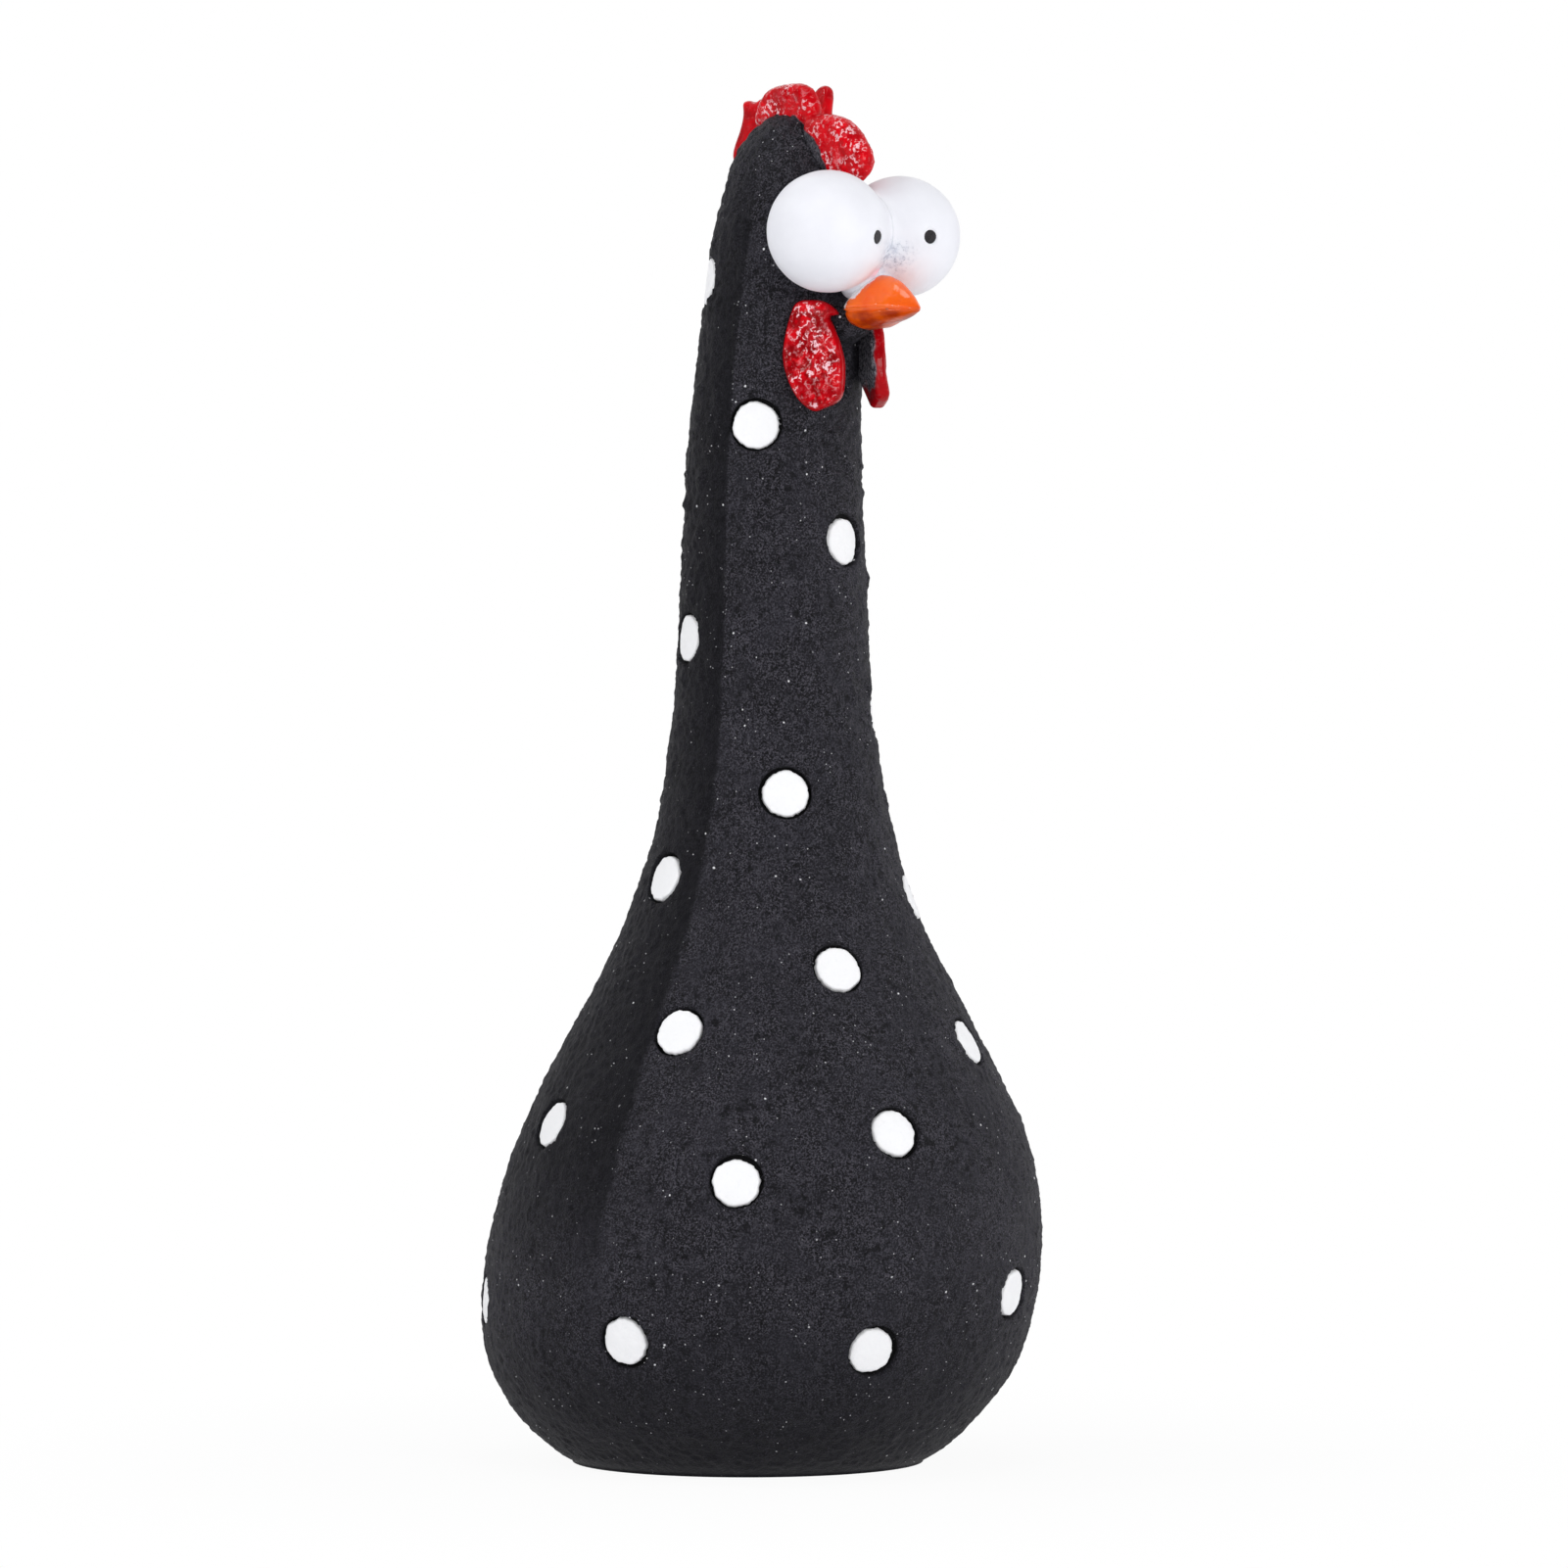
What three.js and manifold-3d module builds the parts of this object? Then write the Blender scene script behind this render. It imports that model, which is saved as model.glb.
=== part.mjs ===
import * as THREE from "three";
import { mergeVertices } from "three/addons/utils/BufferGeometryUtils.js";
import Module from "manifold-3d";

const wasm = await Module();
wasm.setup();

// A long-necked hen for the garden, cast hollow in resin with a sandy black finish.
// Millimetres, +Z up. The hen looks along -Y and its left side is +X.
// Bearings are degrees from straight ahead towards the hen's left.
// Until the last lines, x = y = 0 is the axis of the neck.

// Outline of the body
const footRadius = 25.8;
const heelFullness = 2.8;
const bellyRadius = 40.5;
const bellyHeight = 28.9;
const neckFootRadius = 17.7;
const flareLength = 44.5;
const flareSharpness = 2.35;
const headRadius = 11.8;
const crownHeight = 196.5;
const domeHeight = 30.6;
const domeFullness = 2.25;

// How far the sections lie off the neck's axis: the rump back, the head forward
const rumpOffset = 5.5;
const rumpHeight = 53;
const headLean = 3.7;
const leanStartDrop = 53.5;
const leanEndDrop = 10.5;

// Soft ridge down each side
const ridgeBearing = 80;
const ridgeSpread = 11;
const ridgeRise = 0.022;
const ridgeBottomHeight = 26;
const ridgeFade = 22;

// Casting wall and the disc that closes the underside
const wallThickness = 4.5;
const cavityTopDrop = 46.5;
const cavityFloorThickness = 3;
const baseDiscRadius = 22;
const baseDiscThickness = 3;
const ledgeWidth = 1.8;

// Gap between two pieces that are glued or painted together
const fitClearance = 0.3;

// Eyes and pupils
const eyeRadius = 8.75;
const eyeSpacing = 14.3;
const eyeDrop = 18.5;
const eyeStandoff = 4.6;
const eyeSpigotRadius = 2.2;
const eyeSpigotDepth = 5;
const pupilRadius = 0.95;
const pupilThickness = 0.7;
const pupilToeIn = { right: 14, left: 12.8 };
const pupilLookDown = { right: 8, left: 4 };

// Beak, the bridge that carries it and the chin below
const beakRootGap = 5.8;
const beakLength = 11;
const beakWidth = 9.8;
const beakRise = 4.8;
const beakDrop = 2.6;
const beakCrestShare = 0.36;
const beakRidgeSharpness = 1.3;
const gapeDrop = 29.5;
const beakSpigotRadius = 1.4;
const beakSpigotLength = 3.6;
const bridgeDrop = 25.7;
const bridgeHalfWidth = 3.3;
const bridgeHalfLength = 4;
const bridgeHalfHeight = 2.8;
const bridgeInset = 2.6;
const bridgeSpigotRadius = 2;
const bridgeSpigotDepth = 4;
const chinDrop = 30.5;
const chinHalfWidth = 4;
const chinHalfLength = 6.6;
const chinHalfHeight = 3.9;

// Wattles
const wattleDrop = 28.4;
const wattleLength = 15.5;
const wattleWidth = 8.8;
const wattleLift = { right: 0, left: 0.9 };
const wattleThickness = 2.2;
const wattleBevel = 0.5;
const wattleBearing = 41;
const wattleTurn = 62;
const wattleTenonRadius = 1.2;
const wattleTenonDepth = 3;
const wattleTenonInset = 1.7;

// Comb: a crest let into the crown, with four lobes
const combLength = 30;
const crestHalfWidth = 2.2;
const crestProud = 1.6;
const crestDepth = 6.8;
// Each lobe from the rear, in shares of the comb's length: its place sideways, ahead of the crown
// and above it, then its half sizes. Its lean to the hen's right and the dip of its front end
// are degrees.
const combLobes = [
  { side: 0.013, ahead: -0.293, above: -0.090, thick: 0.047, long: 0.097, high: 0.173, lean: -6, dip: 12 },
  { side: -0.043, ahead: 0.050, above: -0.050, thick: 0.060, long: 0.220, high: 0.187, lean: 12, dip: 0 },
  { side: 0.067, ahead: 0.117, above: -0.017, thick: 0.043, long: 0.077, high: 0.150, lean: -24, dip: 4 },
  { side: -0.030, ahead: 0.403, above: -0.210, thick: 0.073, long: 0.210, high: 0.150, lean: 8, dip: 28 },
];

// White dots: sunk into the casting and filled with enamel
const dotRadius = 3.4;
const dotRecessDepth = 1.1;
const dotThickness = 0.6;
// Bearing of each dot, and its height as a share of the crown's height
const dotPlaces = [
  [-17.7, 0.096],
  [21.6, 0.131],
  [58, 0.102],
  [100, 0.072],
  [150, 0.142],
  [-172, 0.112],
  [-124, 0.122],
  [-70.5, 0.102],
  [105, 0.183],
  [62, 0.229],
  [-50.3, 0.220],
  [-148, 0.214],
  [175, 0.265],
  [-105.9, 0.256],
  [-14.1, 0.253],
  [27.1, 0.315],
  [130, 0.316],
  [-70.5, 0.326],
  [-140, 0.347],
  [75, 0.357],
  [-20.6, 0.370],
  [41, 0.420],
  [175, 0.427],
  [-99.4, 0.435],
  [115, 0.478],
  [-36.7, 0.497],
  [-160, 0.529],
  [50, 0.555],
  [120, 0.601],
  [-109.9, 0.611],
  [-165, 0.666],
  [9.9, 0.683],
  [80, 0.718],
  [-56, 0.767],
  [170, 0.774],
  [95, 0.830],
  [-126, 0.875],
];
// Heights, as the same share, at which the belly and the shoulder end
const bellyShare = 0.3;
const shoulderShare = 0.5;

// Heights of the head's pieces, measured down from the crown
const domeBaseHeight = crownHeight - domeHeight;
const leanStartHeight = crownHeight - leanStartDrop;
const leanEndHeight = crownHeight - leanEndDrop;
const cavityTopHeight = crownHeight - cavityTopDrop;
const eyeHeight = crownHeight - eyeDrop;
const gapeHeight = crownHeight - gapeDrop;
const bridgeHeight = crownHeight - bridgeDrop;
const chinHeight = crownHeight - chinDrop;
const wattleTopHeight = crownHeight - wattleDrop;

// Fineness of the curved faces
const bodySegments = 32;
const ballSegments = 20;
const ballRows = 12;
const roundSegments = 12;
const roundRows = 10;
const domeRings = 7;
const neckRings = 16;
const heelRings = 6;
const cavityRings = 9;
const beakRings = 9;
const beakSegments = 16;

// How deep a joined piece reaches into the one that carries it
const rootOverlap = 1;

const sides = { right: -1, left: 1 };
const UP = new THREE.Vector3(0, 0, 1);
const FORWARD = new THREE.Vector3(0, -1, 0);

const paint = {
  blackSand: new THREE.MeshStandardMaterial({ color: 0x1b1b1e, roughness: 0.85, metalness: 0 }),
  baseResin: new THREE.MeshStandardMaterial({ color: 0x222224, roughness: 0.9, metalness: 0 }),
  redEnamel: new THREE.MeshStandardMaterial({ color: 0xb80d14, roughness: 0.3, metalness: 0 }),
  whiteEnamel: new THREE.MeshStandardMaterial({ color: 0xf2f3f8, roughness: 0.5, metalness: 0 }),
  orangeEnamel: new THREE.MeshStandardMaterial({ color: 0xf2661a, roughness: 0.3, metalness: 0 }),
  blackEnamel: new THREE.MeshStandardMaterial({ color: 0x0c0c0d, roughness: 0.35, metalness: 0 }),
  dotWhite: new THREE.MeshStandardMaterial({ color: 0xe9ebef, roughness: 0.6, metalness: 0 }),
};

// Turns a closed geometry into a solid, without the flat triangles at a pole.
function toSolid(geometry) {
  const bare = geometry.clone();
  bare.deleteAttribute("normal");
  bare.deleteAttribute("uv");
  const merged = mergeVertices(bare, 1e-4);
  const corners = merged.index.array;
  const kept = [];
  for (let i = 0; i < corners.length; i += 3) {
    const [a, b, c] = corners.subarray(i, i + 3);
    if (a !== b && b !== c && c !== a) kept.push(a, b, c);
  }
  const mesh = new wasm.Mesh({
    numProp: 3,
    vertProperties: merged.attributes.position.array,
    triVerts: new Uint32Array(kept),
  });
  return new wasm.Manifold(mesh);
}

// Turns a solid back into a geometry.
function toGeometry(solid) {
  const mesh = solid.getMesh();
  const geometry = new THREE.BufferGeometry();
  geometry.setAttribute("position", new THREE.BufferAttribute(mesh.vertProperties, 3));
  geometry.setIndex(new THREE.BufferAttribute(mesh.triVerts, 1));
  geometry.computeVertexNormals();
  return geometry;
}

// The same geometry on the hen's other side.
function mirrored(geometry) {
  const twin = geometry.index ? geometry.toNonIndexed() : geometry.clone();
  twin.scale(-1, 1, 1);
  const place = twin.attributes.position;
  const swap = new THREE.Vector3();
  const last = new THREE.Vector3();
  for (let i = 0; i < place.count; i += 3) {
    swap.fromBufferAttribute(place, i + 1);
    last.fromBufferAttribute(place, i + 2);
    place.setXYZ(i + 1, last.x, last.y, last.z);
    place.setXYZ(i + 2, swap.x, swap.y, swap.z);
  }
  return twin;
}

function onSide(side, rightHandGeometry) {
  return toSolid(side < 0 ? rightHandGeometry : mirrored(rightHandGeometry));
}

// A round bar from start towards direction.
function bar(radius, start, direction, length) {
  const cylinder = new THREE.CylinderGeometry(radius, radius, length, roundSegments);
  cylinder.translate(0, length / 2, 0);
  const turn = new THREE.Quaternion().setFromUnitVectors(new THREE.Vector3(0, 1, 0), direction);
  cylinder.applyQuaternion(turn);
  cylinder.translate(start.x, start.y, start.z);
  return cylinder;
}

// A ball with three half sizes.
function ellipsoid(halfX, halfY, halfZ, columns, rows) {
  return new THREE.SphereGeometry(1, columns, rows).rotateX(Math.PI / 2).scale(halfX, halfY, halfZ);
}

const radians = THREE.MathUtils.degToRad;
const smoothstep = THREE.MathUtils.smoothstep;

// Body surface

function outlineRadius(height) {
  if (height <= bellyHeight) {
    const below = 1 - height / bellyHeight;
    return footRadius + (bellyRadius - footRadius) * (1 - below ** heelFullness);
  }
  if (height <= domeBaseHeight) {
    const taper = (domeBaseHeight - height) / (domeBaseHeight - bellyHeight);
    const neck = headRadius + (neckFootRadius - headRadius) * taper;
    const flare = Math.exp(-(((height - bellyHeight) / flareLength) ** flareSharpness));
    return neck + (bellyRadius - neckFootRadius) * flare;
  }
  const climb = (height - domeBaseHeight) / (crownHeight - domeBaseHeight);
  return headRadius * Math.max(0, 1 - climb ** domeFullness) ** (1 / domeFullness);
}

function sectionOffset(height) {
  const sag = (1 + Math.cos((Math.PI * Math.min(height, rumpHeight)) / rumpHeight)) / 2;
  return rumpOffset * sag - headLean * smoothstep(height, leanStartHeight, leanEndHeight);
}

// How far ahead of the neck's axis the body's front lies.
function frontReach(height) {
  return outlineRadius(height) - sectionOffset(height);
}

function ridge(bearing, height) {
  const off = (Math.abs(bearing) - radians(ridgeBearing)) / radians(ridgeSpread);
  const fadeIn = smoothstep(height, ridgeBottomHeight, ridgeBottomHeight + ridgeFade);
  const fadeOut = 1 - smoothstep(height, domeBaseHeight, crownHeight);
  return 1 + ridgeRise * fadeIn * fadeOut * Math.exp(-off * off);
}

function surfacePoint(bearing, height) {
  const reach = outlineRadius(height) * ridge(bearing, height);
  const x = reach * Math.sin(bearing);
  const y = sectionOffset(height) - reach * Math.cos(bearing);
  return new THREE.Vector3(x, y, height);
}

function surfaceNormal(bearing, height) {
  const step = 0.05;
  const across = surfacePoint(bearing + step, height).sub(surfacePoint(bearing - step, height));
  const upwards = surfacePoint(bearing, height + step).sub(surfacePoint(bearing, height - step));
  return across.cross(upwards).normalize();
}

// Eyes

function eyeCentre() {
  return new THREE.Vector3(-eyeSpacing / 2, -frontReach(eyeHeight) - eyeStandoff, eyeHeight);
}

// The direction in which the right eye, or the mirrored left one, looks.
function eyeSight(name) {
  const toeIn = radians(pupilToeIn[name]);
  const down = radians(pupilLookDown[name]);
  const level = Math.cos(down);
  return new THREE.Vector3(level * Math.sin(toeIn), -level * Math.cos(toeIn), -Math.sin(down));
}

function eyeSolid(side, grow) {
  const centre = eyeCentre();
  const radius = eyeRadius + grow;
  const ball = ellipsoid(radius, radius, radius, ballSegments, ballRows);
  ball.translate(centre.x, centre.y, centre.z);
  const spigotStart = new THREE.Vector3(centre.x / 2 - eyeSpigotRadius / 2, centre.y, centre.z);
  const spigotLength = eyeStandoff + eyeSpigotDepth + grow;
  const spigot = bar(eyeSpigotRadius + grow, spigotStart, FORWARD.clone().negate(), spigotLength);
  return onSide(side, ball).add(onSide(side, spigot));
}

// Everything on the other side of the middle plane, and half the clearance on this side.
function beyondMiddle(side) {
  const reach = 4 * eyeRadius;
  const box = new THREE.BoxGeometry(reach, reach, reach);
  const centre = eyeCentre();
  box.translate((reach - fitClearance) / 2, centre.y, centre.z);
  return onSide(side, box);
}

function pupilBar(name, grow, start, length) {
  const sight = eyeSight(name);
  const foot = eyeCentre().addScaledVector(sight, start);
  return onSide(sides[name], bar(pupilRadius + grow, foot, sight, length));
}

// Beak and bridge

function beakRoot() {
  return frontReach(gapeHeight) + beakRootGap;
}

// Half width, rise and drop of the beak at a share of its length. The ridge peaks at
// beakCrestShare, falls a little to the root and all the way to the tip.
function beakSection(share) {
  const rootFall = 0.4;
  const sideCurve = 1.6;
  const undersideCurve = 2.2;
  const behind = share < beakCrestShare;
  const beyond = (share - beakCrestShare) / (behind ? beakCrestShare : 1 - beakCrestShare);
  const rise = behind ? 1 - rootFall * beyond ** 2 : Math.max(0, 1 - beyond ** sideCurve);
  return {
    half: (beakWidth / 2) * (1 - share ** sideCurve),
    rise: beakRise * rise,
    drop: beakDrop * (1 - share ** undersideCurve),
  };
}

function beakShell(grow) {
  const places = [];
  const faces = [];
  const root = beakRoot() - grow;
  for (let i = 0; i < beakRings; i += 1) {
    const share = i / beakRings;
    const section = beakSection(share);
    for (let k = 0; k < beakSegments; k += 1) {
      const angle = (2 * Math.PI * k) / beakSegments;
      const sine = Math.sin(angle);
      const cosine = Math.cos(angle);
      const x = (section.half + grow) * cosine;
      const upper = (section.rise + grow) * Math.abs(sine) ** beakRidgeSharpness;
      const z = sine > 0 ? upper : (section.drop + grow) * sine;
      places.push(x, -root - (beakLength + grow) * share, gapeHeight + z);
    }
  }
  const rootMiddle = places.length / 3;
  places.push(0, -root, gapeHeight);
  const tip = rootMiddle + 1;
  places.push(0, -root - beakLength - 2 * grow, gapeHeight);
  for (let k = 0; k < beakSegments; k += 1) {
    const next = (k + 1) % beakSegments;
    faces.push(rootMiddle, next, k);
    for (let i = 0; i + 1 < beakRings; i += 1) {
      const here = i * beakSegments;
      const ahead = here + beakSegments;
      faces.push(here + k, ahead + next, ahead + k);
      faces.push(here + k, here + next, ahead + next);
    }
    const front = (beakRings - 1) * beakSegments;
    faces.push(front + k, front + next, tip);
  }
  const shell = new THREE.BufferGeometry();
  shell.setAttribute("position", new THREE.Float32BufferAttribute(places, 3));
  shell.setIndex(faces);
  return shell;
}

function beakSolid(grow) {
  const spigotHeight = bridgeHeight - beakSpigotRadius;
  const start = new THREE.Vector3(0, -beakRoot() - rootOverlap, spigotHeight);
  const length = beakSpigotLength + rootOverlap + grow;
  const spigot = bar(beakSpigotRadius + grow, start, FORWARD.clone().negate(), length);
  return toSolid(beakShell(grow)).add(toSolid(spigot));
}

function bridgeSolid(grow) {
  const middle = -beakRoot() + bridgeInset;
  const halves = [bridgeHalfWidth, bridgeHalfLength, bridgeHalfHeight].map((half) => half + grow);
  const boss = ellipsoid(...halves, roundSegments, roundRows);
  boss.translate(0, middle, bridgeHeight);
  const start = new THREE.Vector3(0, middle, bridgeHeight);
  const length = bridgeSpigotDepth + grow - frontReach(bridgeHeight) - middle;
  const spigot = bar(bridgeSpigotRadius + grow, start, FORWARD.clone().negate(), length);
  return toSolid(boss).add(toSolid(spigot));
}

function chinSolid() {
  const chin = ellipsoid(chinHalfWidth, chinHalfLength, chinHalfHeight, roundSegments, roundRows);
  chin.translate(0, -beakRoot() + chinHalfLength, chinHeight);
  return toSolid(chin);
}

// Wattles

function wattleOutline() {
  const w = wattleWidth;
  const l = wattleLength;
  const outline = new THREE.Shape();
  outline.moveTo(0.2 * w, 0);
  outline.lineTo(0.77 * w, 0);
  outline.bezierCurveTo(0.85 * w, -0.12 * l, w, -0.38 * l, w, -0.6 * l);
  outline.bezierCurveTo(w, -0.85 * l, 0.7 * w, -l, 0.52 * w, -l);
  outline.bezierCurveTo(0.3 * w, -l, 0, -0.75 * l, 0, -0.47 * l);
  outline.bezierCurveTo(0, -0.25 * l, 0.08 * w, -0.1 * l, 0.2 * w, 0);
  return outline;
}

// The slab's rear edge lies on the neck, and the slab stands forward of it.
function wattleFrame(name) {
  const top = wattleTopHeight + wattleLift[name];
  const middle = top - wattleLength / 2;
  const turn = radians(wattleTurn);
  const along = new THREE.Vector3(Math.cos(turn), -Math.sin(turn), 0);
  const outward = new THREE.Vector3(-Math.sin(turn), -Math.cos(turn), 0);
  const origin = surfacePoint(-radians(wattleBearing), middle).setZ(top);
  return { along, outward, origin };
}

function wattleSolid(name, grow) {
  const { along, outward, origin } = wattleFrame(name);
  const slab = new THREE.ExtrudeGeometry(wattleOutline(), {
    depth: wattleThickness - 2 * wattleBevel,
    curveSegments: 6,
    bevelEnabled: true,
    bevelSegments: 1,
    bevelSize: wattleBevel,
    bevelOffset: grow - wattleBevel,
    bevelThickness: wattleBevel + grow,
  });
  slab.translate(0, 0, wattleBevel - wattleThickness / 2);
  slab.applyMatrix4(new THREE.Matrix4().makeBasis(along, UP, outward));
  slab.translate(origin.x, origin.y, origin.z);
  const tenonStart = origin.clone().addScaledVector(along, wattleTenonInset);
  tenonStart.z -= wattleLength / 2;
  const length = wattleThickness / 2 + wattleTenonDepth + grow;
  const tenon = bar(wattleTenonRadius + grow, tenonStart, outward.clone().negate(), length);
  return onSide(sides[name], slab).add(onSide(sides[name], tenon));
}

// Comb

function combSolid(grow) {
  const halfHigh = crownHeight - domeBaseHeight + crestProud;
  const halfLong = headRadius + crestProud;
  const crestHalves = [crestHalfWidth, halfLong, halfHigh].map((half) => half + grow);
  const crest = ellipsoid(...crestHalves, ballSegments, ballSegments);
  const crownY = sectionOffset(crownHeight);
  crest.translate(0, crownY, domeBaseHeight);
  const below = new THREE.BoxGeometry(3 * halfLong, 3 * halfLong, 3 * halfHigh);
  const crestFloor = crownHeight - crestDepth - grow;
  below.translate(0, crownY, crestFloor - (3 * halfHigh) / 2);
  let comb = toSolid(crest).subtract(toSolid(below));
  for (const lobe of combLobes) {
    const halves = [lobe.thick, lobe.long, lobe.high].map((share) => share * combLength + grow);
    const leaf = ellipsoid(...halves, roundSegments, roundRows);
    leaf.rotateX(radians(lobe.dip));
    leaf.rotateY(-radians(lobe.lean));
    const ahead = crownY - lobe.ahead * combLength;
    leaf.translate(lobe.side * combLength, ahead, crownHeight + lobe.above * combLength);
    comb = comb.add(toSolid(leaf));
  }
  return comb;
}

// White dots

function dotBar(place, radius, inner, outer) {
  const bearing = radians(place[0]);
  const height = place[1] * crownHeight;
  const normal = surfaceNormal(bearing, height);
  const start = surfacePoint(bearing, height).addScaledVector(normal, inner);
  return toSolid(bar(radius, start, normal, outer - inner));
}

function dotRecess(place) {
  const clearOfSurface = 2;
  return dotBar(place, dotRadius + fitClearance, -dotRecessDepth, clearOfSurface);
}

function dotFill(place) {
  const floor = fitClearance - dotRecessDepth;
  return dotBar(place, dotRadius, floor, floor + dotThickness);
}

// Body casting

function castingProfile() {
  const points = [];
  const at = (radius, height) => points.push(new THREE.Vector2(radius, height));
  for (let i = 0; i <= domeRings; i += 1) {
    const angle = (Math.PI / 2) * (1 - i / domeRings);
    const height = domeBaseHeight + (crownHeight - domeBaseHeight) * Math.sin(angle);
    at(i === 0 ? 0 : outlineRadius(height), height);
  }
  for (let i = 1; i <= neckRings; i += 1) {
    const height = domeBaseHeight - ((domeBaseHeight - bellyHeight) * i) / neckRings;
    at(outlineRadius(height), height);
  }
  const heelCrowding = 1.5;
  for (let i = 1; i <= heelRings; i += 1) {
    const height = bellyHeight * (1 - i / heelRings) ** heelCrowding;
    at(outlineRadius(height), height);
  }
  const ledgeHeight = baseDiscThickness + fitClearance;
  const floorHeight = ledgeHeight + cavityFloorThickness;
  at(baseDiscRadius + fitClearance, 0);
  at(baseDiscRadius + fitClearance, ledgeHeight);
  at(baseDiscRadius - ledgeWidth, ledgeHeight);
  at(baseDiscRadius - ledgeWidth, floorHeight);
  const cavityFoot = floorHeight + cavityFloorThickness;
  const shoulderHeight = cavityTopHeight - wallThickness;
  for (let i = 0; i <= cavityRings; i += 1) {
    const height = cavityFoot + ((shoulderHeight - cavityFoot) * i) / cavityRings;
    at(outlineRadius(height) - wallThickness, height);
  }
  at(0, cavityTopHeight);
  return points;
}

function castingShell() {
  const profile = castingProfile().reverse();
  const shell = new THREE.LatheGeometry(profile, bodySegments).rotateX(Math.PI / 2);
  const place = shell.attributes.position;
  for (let i = 0; i < place.count; i += 1) {
    const radius = Math.hypot(place.getX(i), place.getY(i));
    const bearing = Math.atan2(place.getX(i), -place.getY(i));
    const height = place.getZ(i);
    const reach = radius * ridge(bearing, height);
    place.setX(i, reach * Math.sin(bearing));
    place.setY(i, sectionOffset(height) - reach * Math.cos(bearing));
  }
  return toSolid(shell);
}

function bodyCasting() {
  let body = castingShell().add(chinSolid());
  body = body.subtract(combSolid(fitClearance));
  body = body.subtract(bridgeSolid(fitClearance));
  body = body.subtract(beakSolid(fitClearance));
  for (const name of Object.keys(sides)) {
    body = body.subtract(eyeSolid(sides[name], fitClearance));
    body = body.subtract(wattleSolid(name, fitClearance));
  }
  for (const place of dotPlaces) body = body.subtract(dotRecess(place));
  return body;
}

function baseDisc() {
  const disc = new THREE.CylinderGeometry(baseDiscRadius, baseDiscRadius, baseDiscThickness, bodySegments);
  disc.rotateX(Math.PI / 2);
  disc.translate(0, sectionOffset(0), baseDiscThickness / 2);
  return toSolid(disc);
}

function eye(name) {
  const side = sides[name];
  const pitDepth = pupilThickness + fitClearance;
  const ball = eyeSolid(side, 0).subtract(beyondMiddle(side));
  return ball.subtract(pupilBar(name, fitClearance, eyeRadius - pitDepth, 2 * pitDepth));
}

function pupil(name) {
  return pupilBar(name, 0, eyeRadius - pupilThickness, pupilThickness);
}

function clearOfEyes(solid) {
  let cleared = solid;
  for (const side of Object.values(sides)) cleared = cleared.subtract(eyeSolid(side, fitClearance));
  return cleared;
}

// Assembly

const hen = new THREE.Group();

function addPiece(name, solid, material) {
  const mesh = new THREE.Mesh(toGeometry(solid), material);
  mesh.name = name;
  hen.add(mesh);
}

addPiece("body_casting", bodyCasting(), paint.blackSand);
addPiece("base_disc", baseDisc(), paint.baseResin);
addPiece("comb", clearOfEyes(combSolid(0)), paint.redEnamel);
addPiece("face_bridge", clearOfEyes(bridgeSolid(0)).subtract(beakSolid(fitClearance)), paint.whiteEnamel);
addPiece("beak", clearOfEyes(beakSolid(0)), paint.orangeEnamel);
for (const name of Object.keys(sides)) {
  addPiece(`eye_${name}`, eye(name), paint.whiteEnamel);
  addPiece(`pupil_${name}`, pupil(name), paint.blackEnamel);
  const wattle = clearOfEyes(wattleSolid(name, 0)).subtract(beakSolid(fitClearance));
  addPiece(`wattle_${name}`, wattle.subtract(bridgeSolid(fitClearance)), paint.redEnamel);
}

const dotCounts = { belly: 0, shoulder: 0, neck: 0 };
for (const place of dotPlaces) {
  const share = place[1];
  const zone = share < bellyShare ? "belly" : share < shoulderShare ? "shoulder" : "neck";
  dotCounts[zone] += 1;
  addPiece(`dot_${zone}_${dotCounts[zone]}`, dotFill(place), paint.dotWhite);
}

// The part's origin lies on the standing plane, under the middle of the belly.
const bellySamples = 200;
const bellyHeights = Array.from({ length: bellySamples }, (_, i) => (rumpHeight * i) / bellySamples);
const frontmost = Math.max(...bellyHeights.map(frontReach));
const rearmost = Math.max(...bellyHeights.map((h) => outlineRadius(h) + sectionOffset(h)));
hen.position.y = (frontmost - rearmost) / 2;

const part = new THREE.Group();
part.add(hen);
export default part;
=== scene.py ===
"""Long-necked chicken garden statue: fine surfaces, paints, light and camera.

Shapes are in millimetres about the neck's axis: x to the statue's left, y to its back, heights
from the floor. Bearings are in degrees from the front, positive towards the statue's left.
"""

import math

import bpy
import numpy as np
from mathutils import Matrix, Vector, noise

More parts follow.
